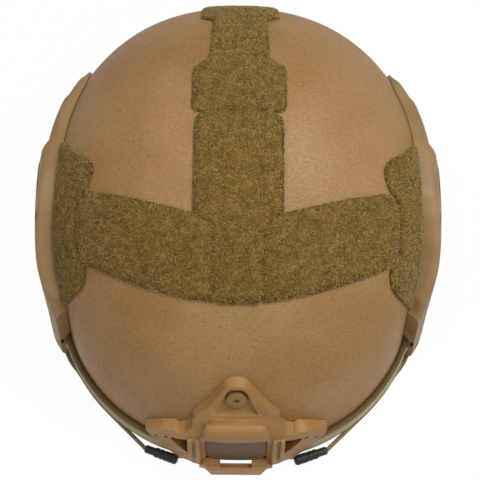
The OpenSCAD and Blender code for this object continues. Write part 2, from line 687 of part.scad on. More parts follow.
module shroud_screw() {
    r = shroud_head_d / 2;
    color(moulded_tan) on_shell(0, shroud_bolt_z) difference() {
        union() {
            translate([0, 0, shroud_seat]) rotate_extrude($fn = 48)
                polygon([[0, 0], [r, 0], [r, shroud_head_h * 0.5], [r * 0.94, shroud_head_h * 0.8],
                    [r * 0.8, shroud_head_h], [0, shroud_head_h]]);
            translate([0, 0, flange_top - flange_h])
                cylinder(h = shroud_seat - flange_top + flange_h, d = screw_d, $fn = 32);
        }
        translate([0, 0, shroud_seat + 0.8]) cylinder(h = 4, d = 3.4, $fn = 6);
    }
}
module shroud_nut() {
    color(steel_dark) on_shell(0, shroud_bolt_z) nut();
}

// Bungees run from the rail's eyelet along the trim and straight to their hooks.
bungee_d = 2.6;
bungee_z = bungee_d / 2 + 0.1;
// The cord lies against the trim's 45 degree corner.
bungee_off = bungee_z - trim_tuck + (bungee_d / 2 + seat_gap) * sqrt(2);
bungee_leave = 36;
hook_start = [-56.8, -136, 2.8];
hook_end = [-36.5, -143.6, 4.2];
function bungee_route() =
    let (top = shell_at(-eyelet_a, eyelet_z - 4, eyelet_d))
    concat([top, top - [0, 0, 4], shell_at(-eyelet_a + 0.4, 7, eyelet_d - 0.2)],
        [for (i = [0:8])
            let (f = i / 8, a = mix(rail_front - 1, bungee_leave, f))
            shell_at(-a, mix(4, bungee_z, smooth(f * 3)), bungee_off + 2.4 * (1 - smooth(f * 3)))],
        [for (f = [0.2, 0.4, 0.6, 0.8, 1])
            mix(shell_at(-bungee_leave, bungee_z, bungee_off), hook_start - [0, y_mid, 0], f)]);
module tube(path, d, sides) {
    last = len(path) - 1;
    loft([for (i = [0:last])
        let (t = unit(path[min(last, i + 1)] - path[max(0, i - 1)]))
        let (u = unit(cross([-0.8, -0.6, 0], t)), v = cross(t, u))
        [for (j = [0:sides - 1])
            path[i] + (u * cos(j * 360 / sides) + v * sin(j * 360 / sides)) * d / 2]]);
}
module bungee(hand) {
    route = bungee_route();
    color(web_tan) if (hand < 0) tube(route, bungee_d, 8);
    else mirror([1, 0, 0]) tube(route, bungee_d, 8);
}
module bungee_left() bungee(-1);
module bungee_right() bungee(1);
// A hook: collar, ribbed grip and a claw that reaches up behind the shroud's skirt.
module bungee_hook(hand) {
    start = hook_start - [0, y_mid, 0];
    end = hook_end - [0, y_mid, 0];
    run = unit(end - start);
    long = norm(end - start);
    color(hook_black) mirror([hand > 0 ? 1 : 0, 0, 0]) {
        translate(start) rotate([0, acos(run.z), atan2(run.y, run.x)]) rotate_extrude($fn = 24)
            polygon([[0, 0.3], [2.3, 0.3], [2.5, 1], [2.5, 6], [3.1, 7.5], [3.1, 9], [2.8, 9.4],
                [2.8, 10], [3.1, 10.4], [3.1, 12], [2.8, 12.4], [2.8, 13], [3.1, 13.4],
                [3.1, long - 1], [2.2, long], [0, long]]);
        loft([for (i = [0:4])
            let (f = i / 4, a = mix(14.4, 12.2, f), z = mix(4.2, pocket_high - 3, f))
            let (c = behind_trim + 1.1)
            [for (q = [[-1, 0.75], [1, 0.75], [1, -0.75], [-1, -0.75]])
                shell_at(-a + q.x, z, c + q.y)]]);
    }
}
module bungee_hook_left() bungee_hook(-1);
module bungee_hook_right() bungee_hook(1);

// Liner pads. A pad is a crowned pillow over a rounded patch of the inner wall.
pad_spokes = 24;
wall_slack = 0.5;
pad_back = -(shell_wall + disc_thick + 2 * seat_gap + wall_slack + 0.2);
function pillow(f) = pow(1 - pow(f, 4), 0.5);
function pad_unit(j, n) =
    let (c = cos(j * 360 / n), s = sin(j * 360 / n))
    [sign(c) * pow(abs(c), 0.6), sign(s) * pow(abs(s), 0.6)];
module wall_pad(a, z, half_a, half_z) {
    shares = [0.35, 0.7, 0.92, 1];
    ring = function(f, d) [for (j = [0:pad_spokes - 1])
        let (u = pad_unit(j, pad_spokes))
        shell_at(a + half_a * f * u.x, z + half_z * f * u.y, d)];
    rise = function(f) pad_back - pad_thick * mix(0.45, 1, pillow(f));
    back = concat([for (f = shares) ring(f, pad_back)], [[shell_at(a, z, pad_back)]]);
    face = concat([for (f = shares) ring(f, rise(f))], [[shell_at(a, z, rise(0))]]);
    color(pad_grey) pad_solid(face, back);
}
// Orders the fans from the middle outwards and closes them.
module pad_solid(low, high) {
    n = len(low) - 1;
    thick_disc(concat([for (i = [0:n - 1]) low[i]], [low[n][0]]),
        concat([for (i = [0:n - 1]) high[i]], [high[n][0]]));
}
module crown_pad() {
    shares = [0.35, 0.7, 0.92, 1];
    ring = function(f, d) [for (j = [0:pad_spokes - 1])
        let (t = j * 360 / pad_spokes)
        top_at(crown_pad_r * f * cos(t), crown_shift + crown_pad_r * f * sin(t), d)];
    rise = function(f) pad_back - pad_thick * mix(0.45, 1, pillow(f));
    middle = function(d) [top_at(0.01, crown_shift, d)];
    color(pad_grey) pad_solid(
        concat([for (f = shares) ring(f, rise(f))], [middle(rise(0))]),
        concat([for (f = shares) ring(f, pad_back)], [middle(pad_back)]));
}
front_pad_z = 66;
rear_pad_z = crown_height - 75;
side_front_a = 48;
side_front_z = 86;
side_front_half = [15, 27];
side_rear_a = 95;
side_rear_z = crown_height - 58;
side_rear_half = [10.5, 21];
module front_pad() difference() {
    wall_pad(0, front_pad_z, 25, 22);
    // Hollow in the pad's back over the shroud's flange nut.
    on_shell(0, shroud_bolt_z) translate([0, 0, flange_top - flange_h - 2])
        cylinder(h = 2 * shell_wall, d = flange_d + 2, $fn = 40);
}
module rear_pad() wall_pad(180, rear_pad_z, 26, 23);
module side_pad(place, half) wall_pad(place.x, place.y, half.x, half.y);
module side_pad_front_left() side_pad([-side_front_a, side_front_z], side_front_half);
module side_pad_front_right() side_pad([side_front_a, side_front_z], side_front_half);
module side_pad_rear_left() side_pad([-side_rear_a, side_rear_z], side_rear_half);
module side_pad_rear_right() side_pad([side_rear_a, side_rear_z], side_rear_half);

// Hook discs on the inner wall behind each pad and each end of the fit band.
// The front disc is smaller and lies below the shroud's nut.
disc_r = 13;
front_disc_r = 10;
front_disc_z = shroud_bolt_z - flange_d / 2 - front_disc_r - 1;
band_end_a = 134;
band_end_z = 50;
disc_places = [[0, front_disc_z, front_disc_r], [180, rear_pad_z, disc_r],
    [side_front_a, side_front_z, disc_r], [-side_front_a, side_front_z, disc_r],
    [side_rear_a, side_rear_z, disc_r], [-side_rear_a, side_rear_z, disc_r],
    [band_end_a, band_end_z, disc_r], [-band_end_a, band_end_z, disc_r]];
module hook_discs() {
    back = -(shell_wall + seat_gap + wall_slack);
    color(hook_black) {
        for (p = disc_places) {
            turn = 57.3 / plan_r(p.x, -shell_wall);
            ring = function(f, d) [for (j = [0:15])
                shell_at(p.x + p.z * f * turn * cos(j * 22.5), p.y + p.z * f * sin(j * 22.5), d)];
            pad_solid([ring(0.5, back - disc_thick), ring(1, back - disc_thick),
                    [shell_at(p.x, p.y, back - disc_thick)]],
                [ring(0.5, back), ring(1, back), [shell_at(p.x, p.y, back)]]);
        }
        crown = function(f, d) [for (j = [0:15])
            top_at(disc_r * f * cos(j * 22.5), crown_shift + disc_r * f * sin(j * 22.5), d)];
        pad_solid([crown(0.5, back - disc_thick), crown(1, back - disc_thick),
                [top_at(0.01, crown_shift, back - disc_thick)]],
            [crown(0.5, back), crown(1, back), [top_at(0.01, crown_shift, back)]]);
    }
}

// Nape dial. The housing stands behind the nape pad, the knob turns about +Y.
housing_front = 88;
housing_depth = 12;
housing_wall = 2;
housing_r = knob_r + 2;
knob_front = housing_front + housing_depth + seat_gap;
housing_half = 36;
slot_z_half = 7.4;
hub_r = 5;
bore_r = 1.3;
screw_seat = 3.4;
module about_dial(y) {
    translate([0, y - y_mid, dial_z]) rotate([-90, 0, 0]) children();
}
module nape_pad() {
    half = 47;
    rows = 5;
    columns = 10;
    crown = function(u, v) 9 * pow((1 - pow(abs(u), 4)) * (1 - pow(abs(v), 4)), 0.4);
    place = function(u, v, front) let (x = half * u * (1 - 0.1 * v * v))
        [x, housing_front - seat_gap - x * x / 240 - (front ? 4 + crown(u, v) : 0) - y_mid,
            dial_z + 4 + v * 19];
    grid = function(front) [for (j = [0:rows]) [for (i = [0:columns])
        place(mix(-1, 1, i / columns), mix(-1, 1, j / rows), front)]];
    color(pad_grey) thick_sheet(grid(false), grid(true));
}
module dial_housing() {
    r = housing_r;
    color(hook_black) difference() {
        union() {
            about_dial(housing_front) cylinder(h = housing_depth, r = r, $fn = 48);
            translate([-housing_half, housing_front - y_mid, dial_z - 10])
                cube([2 * housing_half, 7, 20]);
        }
        about_dial(housing_front + housing_wall)
            cylinder(h = housing_depth - 2 * housing_wall, r = spool_r + 1, $fn = 40);
        about_dial(housing_front + housing_wall)
            cylinder(h = housing_depth, r = hub_r + shaft_gap, $fn = 40);
        for (s = [-1, 1])
            translate([s * (housing_half + spool_r) / 2 - (housing_half - spool_r + 4) / 2,
                housing_front + housing_wall - y_mid, dial_z - slot_z_half])
                cube([housing_half - spool_r + 4, 2.6, 2 * slot_z_half]);
    }
}
module dial_spool() {
    y = housing_front + housing_wall + seat_gap;
    length = housing_depth - 2 * housing_wall - 2 * seat_gap;
    color(moulded_tan) difference() {
        union() {
            about_dial(y) rotate_extrude($fn = 40)
                polygon([[0, 0], [spool_r, 0], [spool_r, 1.2], [spool_r - 1.6, 2.2],
                    [spool_r - 1.6, length - 2.2], [spool_r, length - 1.2], [spool_r, length],
                    [0, length]]);
            about_dial(y + length / 2)
                cylinder(h = knob_front - y - length / 2, r = hub_r, $fn = 40);
        }
        about_dial(y + 1.5) cylinder(h = 2 * housing_depth, r = bore_r, $fn = 24);
    }
}
knob_lobes = 10;
module dial_knob() {
    color(hook_black) difference() {
        about_dial(knob_front) rotate_extrude($fn = 60)
            polygon([[0, 0], [knob_r - 1, 0], [knob_r, 1], [knob_r, knob_h - 2],
                [knob_r - 2, knob_h], [5, knob_h], [4.5, knob_h - 1], [0, knob_h - 1]]);
        for (i = [0:knob_lobes - 1])
            about_dial(knob_front - 1) rotate([0, 0, (i + 0.5) * 360 / knob_lobes])
                translate([knob_r + 2.6, 0, 0]) cylinder(h = knob_h + 2, r = 4, $fn = 24);
        about_dial(knob_front - 1) cylinder(h = knob_h + 2, r = bore_r, $fn = 24);
        about_dial(knob_front + knob_h - screw_seat) cylinder(h = 5, r = 2.9, $fn = 24);
    }
}
module dial_screw() {
    color(steel_dark) difference() {
        union() {
            about_dial(knob_front + knob_h - screw_seat) cylinder(h = 1.6, r = 2.5, $fn = 24);
            about_dial(knob_front - 6)
                cylinder(h = knob_h + 3, r = bore_r - shaft_gap, $fn = 24);
        }
        about_dial(knob_front + knob_h - 2.6) cylinder(h = 2, r = 1.1, $fn = 6);
    }
}
// Fit band halves, from their discs to the housing's slots.
fit_w = 13;
fit_t = 1.6;
module fit_band(hand) {
    d = -(shell_wall + disc_thick + 2 * seat_gap + wall_slack + 0.3) - fit_t / 2;
    along_wall = function(a) shell_at(-a, band_end_z, d);
    y = housing_front + housing_wall + 1.3;
    turn_in = band_end_a + 11;
    stations = [along_wall(band_end_a - 4), along_wall(band_end_a), along_wall(band_end_a + 5),
        along_wall(turn_in) + [3, -7, -5], [-56, y + 5 - y_mid, dial_z + 9],
        [-47, y + 1 - y_mid, dial_z + 2.5], [-41, y - y_mid, dial_z],
        [-spool_r - 3, y - y_mid, dial_z]];
    path = splined(stations, 20);
    color(hook_black) mirror([hand > 0 ? 1 : 0, 0, 0])
        webbing(path, [for (p = path) [0, 0, 1]], fit_w, fit_t);
}
module fit_band_left() fit_band(-1);
module fit_band_right() fit_band(1);

// Harness. Each strap starts under a flange nut and ends at the side slider.
slider_z = 17;
slider_gap = 0.9;
slider_half = web_w + 2;
ear_middle = 94;
module harness_strap(hand, a, z, end_y) {
    n = surface_normal(-a, z);
    hold = shell_at(-a, z, 0) + n * (spot_w - seat_gap - tab_t / 2);
    down = unit([0, 0, -1] - n * ([0, 0, -1] * n));
    over = ear_cut_height + trim_inner;
    end = [-slider_x, end_y, slider_z + 9.6];
    clear = -(shell_wall + trim_wall + 2 * seat_gap) - 0.8 - web_t / 2;
    below = [for (q = [[over + 1.5, clear, 0.03], [over - 8, clear - 1, 0.2],
            [over - 22, clear - 3, 0.45]])
        shell_at(-mix(a, ear_middle, q.z), q.x, q.y)];
    stations = [hold - down * 6, hold, hold + down * 8, below[0], below[1], below[2],
        mix(below[2], end, 0.55) + [4, 0, 0], end + [0, 0, 6], end];
    path = splined(stations, 24);
    side = [for (i = [0:24]) mix(cross(down, n), [0, 1, 0], smooth((i - 6) / 9))];
    color(web_tan) difference() {
        mirror([hand > 0 ? 1 : 0, 0, 0]) webbing(path, side, web_w, web_t);
        on_shell(hand * a, z) translate([0, 0, -2 * shell_wall])
            cylinder(h = 3 * shell_wall, d = barrel_hole_d, $fn = 32);
    }
}
module strap_front_left() harness_strap(-1, bolt_front, bolt_front_z, -web_w / 2 - 0.5);
module strap_front_right() harness_strap(1, bolt_front, bolt_front_z, -web_w / 2 - 0.5);
module strap_rear_left() harness_strap(-1, bolt_rear, bolt_rear_z, web_w / 2 + 0.5);
module strap_rear_right() harness_strap(1, bolt_rear, bolt_rear_z, web_w / 2 + 0.5);
module slider(hand) {
    color(hook_black) translate([hand * slider_x, 0, slider_z]) difference() {
        rotate([90, 0, 90]) linear_extrude(3.4, center = true)
            polygon([[-slider_half, 7.6], [slider_half, 7.6], [slider_half, 2], [12, -9],
                [-12, -9], [-slider_half, 2]]);
        for (s = [-1, 1]) translate([-3, s * (web_w / 2 + 0.5) - web_w / 2, 2.5])
            cube([6, web_w, 2.6]);
        translate([-3, -web_w / 2, -6.4]) cube([6, web_w, 2.6]);
    }
}
module slider_left() slider(-1);
module slider_right() slider(1);

// Chin strap, tucked flat inside the rim. Its two webs lie on the cup and on the buckle.
chin_y = -14;
chin_floor = 1;
cup_half = 27;
cup_x = -15;
cup_high = 7.5;
buckle_x = 15;
web_lie = 0.3 + web_t / 2;
module chin_web(to_x, hand) {
    low = chin_floor + 2.3;
    lie = chin_floor + socket_h + web_lie;
    stations = [[slider_x, 0, slider_z - 9 - slider_gap], [slider_x - 0.4, 0, low + 1.6],
        [slider_x - 2.8, -1, low], [slider_x - 8, -4, low + 0.2], [slider_x - 16, -9, low + 3.4],
        [slider_x - 23, chin_y + 1.2, lie], for (f = [0.3, 0.65, 1])
            [mix(slider_x - 23, hand * to_x, f), chin_y, lie]];
    steps = 24;
    // The web turns in plan while it crosses from the slider to the chin's line.
    turned = function(u) 0.56 * smooth((u - 0.6) / 2) * (1 - smooth((u - 4) / 2));
    color(web_tan) mirror([hand > 0 ? 0 : 1, 0, 0])
        webbing(splined(stations, steps),
            [for (i = [0:steps]) [-turned(i * (len(stations) - 1) / steps), 1, 0]], web_w, web_t);
}
module chin_strap_left() chin_web(buckle_x + 6, -1);
module chin_strap_right() chin_web(tongue_x + 6, 1);
module chin_cup() {
    columns = 12;
    rows = 4;
    place = function(u, v, top)
        [cup_x + cup_half * u, chin_y + v * (14 - 4 * u * u),
            chin_floor + (top ? 3 + (cup_high - 3)
                * pow((1 - pow(abs(u), 6)) * (1 - pow(abs(v), 4)), 0.5) : 0)];
    grid = function(top) [for (j = [0:rows]) [for (i = [0:columns])
        place(mix(-1, 1, i / columns), mix(-1, 1, j / rows), top)]];
    color(pad_grey) thick_sheet(grid(false), grid(true));
}
// Side-release buckle along X. The tongue enters the socket from +X.
socket_half = 13;
socket_h = 8;
socket_l = 25;
plate = 1.6;
tongue_x = buckle_x + socket_l + seat_gap;
tongue_l = 15;
prong_root = tongue_x + 5;
prong_y = 8.2;
prong_h = 4;
prong_pin = 1.1;
module buckle_socket() {
    color(hook_black) translate([buckle_x, chin_y, chin_floor]) difference() {
        translate([0, -socket_half, 0]) cube([socket_l, 2 * socket_half, socket_h]);
        translate([7, -socket_half + 1.8, plate])
            cube([socket_l, 2 * socket_half - 3.6, socket_h - 2 * plate]);
        for (s = [-1, 1]) translate([9, s * socket_half - 3, plate])
            cube([9, 6, socket_h - 2 * plate]);
        translate([2.2, -web_w / 2, -1]) cube([2.6, web_w, socket_h + 2]);
    }
}
module buckle_tongue() {
    root = prong_root - tongue_x;
    room = 2.9;
    color(hook_black) translate([tongue_x, chin_y, chin_floor]) {
        difference() {
            union() {
                translate([0, -socket_half, 0]) cube([tongue_l, 2 * socket_half, socket_h]);
                translate([-15, -plate, 2]) cube([16, 2 * plate, socket_h - 4]);
            }
            for (s = [-1, 1]) translate([-1, s * prong_y - room, (socket_h - prong_h) / 2 - 0.2])
                cube([root + room + 1, 2 * room, prong_h + 0.4]);
            translate([tongue_l - 4.6, -web_w / 2, -1]) cube([2.4, web_w, socket_h + 2]);
        }
        for (s = [-1, 1]) translate([root, s * prong_y, 0.5])
            cylinder(h = socket_h - 1, r = prong_pin, $fn = 24);
    }
}
module buckle_prong(s) {
    color(hook_black) translate([prong_root, chin_y + s * prong_y, 0])
        translate([0, 0, chin_floor + (socket_h - prong_h) / 2]) difference() {
            union() {
                cylinder(h = prong_h, r = 2.4, $fn = 32);
                linear_extrude(prong_h) scale([1, s]) polygon([[0, 2.4], [-prong_l + 7, 2.4],
                    [-prong_l + 6.5, 4.2], [-prong_l + 1.5, 4.2], [-prong_l, 1],
                    [-prong_l, -1.4], [-prong_l + 7, -1.4], [0, -2.4]]);
            }
            translate([0, 0, -1]) cylinder(h = prong_h + 2, r = prong_pin + shaft_gap, $fn = 32);
        }
}
module buckle_prong_front() buckle_prong(-1);
module buckle_prong_rear() buckle_prong(1);

shell();
edge_trim();
loop_rear_strip();
loop_centre_strip();
loop_band_left();
loop_band_right();
loop_side_left();
loop_side_right();
rail_left();
rail_right();
rail_screws();
rail_nuts();
shroud_frame();
shroud_screw();
shroud_nut();
bungee_left();
bungee_right();
bungee_hook_left();
bungee_hook_right();
crown_pad();
front_pad();
rear_pad();
side_pad_front_left();
side_pad_front_right();
side_pad_rear_left();
side_pad_rear_right();
hook_discs();
nape_pad();
dial_housing();
dial_spool();
dial_knob();
dial_screw();
fit_band_left();
fit_band_right();
strap_front_left();
strap_front_right();
strap_rear_left();
strap_rear_right();
slider_left();
slider_right();
chin_strap_left();
chin_strap_right();
chin_cup();
buckle_socket();
buckle_tongue();
buckle_prong_front();
buckle_prong_rear();
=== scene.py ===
"""A high-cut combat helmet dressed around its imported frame: paint, loop pile, rubber, webbing and pads."""
import logging
import math
from dataclasses import dataclass, field
from enum import Enum
from typing import Callable, Iterable, Sequence

import bmesh
import bpy
import numpy as np
from mathutils import Matrix, Vector
from mathutils.kdtree import KDTree


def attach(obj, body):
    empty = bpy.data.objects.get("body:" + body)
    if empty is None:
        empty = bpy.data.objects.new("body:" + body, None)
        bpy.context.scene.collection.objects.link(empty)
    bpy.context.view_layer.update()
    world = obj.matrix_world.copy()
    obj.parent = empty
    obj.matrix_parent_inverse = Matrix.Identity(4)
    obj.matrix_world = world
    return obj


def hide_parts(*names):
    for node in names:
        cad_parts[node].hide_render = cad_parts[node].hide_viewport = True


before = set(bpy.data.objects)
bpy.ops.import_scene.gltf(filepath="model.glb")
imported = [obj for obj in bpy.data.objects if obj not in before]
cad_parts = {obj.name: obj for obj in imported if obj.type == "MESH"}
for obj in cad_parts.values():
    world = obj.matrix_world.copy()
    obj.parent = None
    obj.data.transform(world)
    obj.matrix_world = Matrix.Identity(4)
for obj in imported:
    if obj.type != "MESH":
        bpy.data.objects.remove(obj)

log = logging.getLogger("helmet")
MM = 0.001
MERGE_DISTANCE = 2e-6
FLAT_ANGLE = 0.6
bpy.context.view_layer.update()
Array = np.ndarray
Piece = bpy.types.Object
Material = bpy.types.Material
Socket = bpy.types.NodeSocket
Profile = Sequence[tuple[float, float]]


class Hand(Enum):
    """The two sides of the helmet, by the sign of x."""

    LEFT = -1
    RIGHT = 1

    @property
    def word(self) -> str:
        """The side's name as the nodes spell it."""
        return self.name.lower()


def clamp01(x: Array | float) -> Array:
    """Limits x to 0..1."""
    return np.clip(x, 0.0, 1.0)


def smooth(x: Array | float) -> Array:
    """Eases from 0 to 1 with level ends."""
    s = clamp01(x)
    return s * s * (3 - 2 * s)


def mix(a: Array | float, b: Array | float, f: Array | float) -> Array:
    """Blends from a at 0 to b at 1."""
    return a + (b - a) * f


def unit(v: Array) -> Array:
    """Scales the last axis of v to length one."""
    return v / np.maximum(np.linalg.norm(v, axis=-1, keepdims=True), 1e-12)


def srgb(red: int, green: int, blue: int) -> tuple[float, float, float, float]:
    """Linear colour, with an alpha of one, of sRGB channels from 0 to 255.

    Args:
        red, green, blue: The channels.

    Returns:
        The colour.
    """
    linear = [c / 12.92 if c <= 0.04045 else ((c + 0.055) / 1.055) ** 2.4
              for c in (red / 255, green / 255, blue / 255)]
    return (*linear, 1.0)


def grey(value: float) -> tuple[float, float, float, float]:
    """A linear grey."""
    return (value, value, value, 1.0)


def placed(name: str, data: bpy.types.ID) -> Piece:
    """Makes an object of some data and links it to the scene.

    Args:
        name: Its name.
        data: Its mesh, lamp or camera data.

    Returns:
        The object.
    """
    made = bpy.data.objects.new(name, data)
    bpy.context.scene.collection.objects.link(made)
    return made


def mark(piece: Piece, name: str, domain: str, values: Sequence[float]) -> None:
    """Stores a value for each POINT or FACE of a piece, for its material or node tree to read."""
    layer = piece.data.attributes.new(name, "FLOAT", domain)
    layer.data.foreach_set("value", np.asarray(values, np.float32))


def rounded_square(power: float, spokes: int) -> Array:
    """A rounded square of radius one, as points in the plane.

    Args:
        power: Exponent of its outline; 1 gives a circle.
        spokes: How many points it has.

    Returns:
        The points, one in a row.
    """
    t = np.radians(np.arange(spokes) * 360 / spokes)
    c, s = np.cos(t), np.sin(t)
    return np.stack([np.sign(c) * np.abs(c) ** power, np.sign(s) * np.abs(s) ** power], 1)


def denser(ring: Array) -> Array:
    """A ring's points with one more halfway between each two."""
    return np.concatenate([mix(ring, np.roll(ring, -1, 0), f) for f in (0, 0.5)])


def relax(line: Array) -> None:
    """Evens out the inner rows of a line, in place."""
    for _ in range(2):
        line[1:-1] = (line[:-2] + 2 * line[1:-1] + line[2:]) / 4


def spline(stations: Sequence[Sequence[float]], steps: int) -> Array:
    """Points on a smooth curve through the stations.

    Args:
        stations: Points in millimetres.
        steps: How many stretches the curve is cut into.

    Returns:
        An array of steps + 1 points.
    """
    p = np.array(stations, float)
    last = len(p) - 1
    u = np.linspace(0, last, steps + 1)
    i = np.clip(np.floor(u).astype(int), 0, last - 1)
    f = (u - i)[:, None]
    a, b = p[np.maximum(i - 1, 0)], p[i]
    c, d = p[i + 1], p[np.minimum(i + 2, last)]
    bend, twist = 2 * a - 5 * b + 4 * c - d, 3 * b - a - 3 * c + d
    return b + ((c - a) * f + bend * f**2 + twist * f**3) / 2


@dataclass(frozen=True)
class HelmetForm:
    """The shell's surface in millimetres.

    In its methods a is the azimuth in degrees from the front, z the height and d the offset outwards from
    the paint. The two holds are the azimuth and height of the rails' front and rear screws.
    """

    half_width: float = 114.0
    front_reach: float = 140.5
    rear_reach: float = 138.5
    crown_height: float = 173.0
    wall: float = 8.0
    squareness: float = 2.26
    crown_fullness: float = 0.93
    crown_shift: float = 5.0
    equator_side: float = 84.5
    equator_front: float = -13.0
    equator_rear: float = 51.0
    temple_flare: float = 2.5
    temple_azimuth: float = 60.0
    temple_spread: float = 40.0
    temple_high: float = 70.0
    temple_low: float = 10.0
    nape_flare: float = 0.05
    ear_cut_height: float = 74.0
    ear_start: float = 54.0
    ear_full: float = 84.0
    ear_rear: float = 112.0
    ear_end: float = 142.0
    lead_per_mm: float = 0.28
    trim_wall: float = 2.4
    trim_height: float = 17.0
    seat_gap: float = 0.3
    lip_reach: float = 11.0
    front_hold: tuple[float, float] = (77.0, 100.5)
    rear_hold: tuple[float, float] = (112.0, 103.0)
    top_rounds: int = 9
    place_rounds: int = 6

    def equator(self, a: Array) -> Array:
        """Height of the widest line at an azimuth.

        Args:
            a: Azimuth in degrees.

        Returns:
            The height in millimetres.
        """
        c = np.cos(np.radians(a))
        ends = np.where(c > 0, self.equator_front, self.equator_rear)
        return self.equator_side + (ends - self.equator_side) * c**2

    def plan_radius(self, a: Array, d: Array) -> Array:
        """Reach of the widest line from the crown's axis.

        Args:
            a: Azimuth in degrees.
            d: Offset from the paint in millimetres.

        Returns:
            The reach in millimetres.
        """
        r = np.radians(a)
        s, c = np.abs(np.sin(r)), np.cos(r)
        reach = np.where(c > 0, self.front_reach, self.rear_reach) + d
        n = self.squareness
        return ((s / (self.half_width + d)) ** n + (np.abs(c) / reach) ** n) ** (-1 / n)

    def temple(self, a: Array, z: Array) -> Array:
        """Outward flare of the temples.

        Args:
            a: Azimuth in degrees.
            z: Height in millimetres.

        Returns:
            The flare in millimetres.
        """
        off = np.abs(a) - self.temple_azimuth
        bell = np.cos(np.radians(np.clip(off * 90 / self.temple_spread, -90, 90))) ** 2
        fade = smooth((self.temple_high - z) / (self.temple_high - self.temple_low))
        return self.temple_flare * bell * fade

    def unshifted(self, a: Array, z: Array, d: Array) -> Array:
        """Surface points with the crown's axis at y = 0.

        Args:
            a: Azimuth in degrees.
            z: Height in millimetres.
            d: Offset from the paint in millimetres.

        Returns:
            The points in millimetres.
        """
        a, z, d = np.broadcast_arrays(*(np.asarray(v, float) for v in (a, z, d)))
        r = np.radians(a)
        level = self.equator(a)
        rise = np.clip((z - level) / (self.crown_height + d - level), -1, 1)
        over = np.sqrt(np.maximum(0, 1 - rise**2)) ** self.crown_fullness
        share = np.where(rise > 0, over, 1 + self.nape_flare * rise**2)
        reach = self.plan_radius(a, d) * share + self.temple(a, z)
        lean = np.where(rise > 0, self.crown_shift * rise**2, 0)
        return np.stack([reach * np.sin(r), lean - reach * np.cos(r), z], -1)

    @property
    def shift(self) -> float:
        """How far the model is moved back so that its length is centred."""
        nape = self.unshifted(180, 0, self.trim_wall + self.seat_gap)[1]
        return -(nape - self.front_reach - self.lip_reach) / 2

    def point(self, a: Array | float, z: Array | float, d: Array | float) -> Array:
        """Surface points in the row's frame."""
        return self.unshifted(a, z, d) + np.array([0, self.shift, 0])

    def place_of(self, spot: Array) -> tuple[float, float]:
        """Azimuth and height of a point near the surface.

        Args:
            spot: The point in millimetres.

        Returns:
            The azimuth and the height.
        """
        a, z = self.temple_azimuth, float(spot[2])
        for _ in range(self.place_rounds):
            level = float(self.equator(a))
            rise = clamp01((z - level) / (self.crown_height - level))
            a = math.degrees(math.atan2(spot[0], self.crown_shift * rise**2 + self.shift - spot[1]))
        return a, z

    def normal(self, a: float, z: float) -> Array:
        """Outward normal of the paint.

        Args:
            a: Azimuth in degrees.
            z: Height in millimetres.

        Returns:
            Unit directions.
        """
        along = self.point(a + 1, z, 0) - self.point(a - 1, z, 0)
        up = self.point(a, z + 1, 0) - self.point(a, z - 1, 0)
        return unit(np.cross(along, up))

    def top(self, x: Array | float, y: Array | float, d: Array | float) -> Array:
        """Surface points above places in plan, y counted from the crown's axis.

        Args:
            x, y: Places in plan in millimetres.
            d: Offset from the paint in millimetres.

        Returns:
            The points in millimetres.
        """
        x, y, d = np.broadcast_arrays(*(np.asarray(v, float) for v in (x, y, d)))
        s = np.ones_like(x)
        for _ in range(self.top_rounds):
            c = self.crown_shift * s * s
            reach = self.plan_radius(np.degrees(np.arctan2(x, c - y)), d)
            share = np.minimum(1, np.hypot(x, y - c) / reach)
            s = np.sqrt(np.maximum(0, 1 - share ** (2 / self.crown_fullness)))
        level = self.equator(np.degrees(np.arctan2(x, self.crown_shift * s * s - y)))
        return np.stack([x, y + self.shift, level + (self.crown_height + d - level) * s], -1)

    def edge(self, a: Array | float, h: Array | float) -> Array:
        """Height of a line h above the rim, measured square to it.

        Args:
            a: Azimuth in degrees.
            h: How far it lies above the rim.

        Returns:
            The height in millimetres.
        """
        lead = self.lead_per_mm * h
        up = smooth((np.abs(a) + lead - self.ear_start) / (self.ear_full - self.ear_start))
        down = smooth((np.abs(a) - lead - self.ear_rear) / (self.ear_end - self.ear_rear))
        return self.trim_wall + h + (self.ear_cut_height - self.trim_wall) * up * (1 - down)


FORM = HelmetForm()


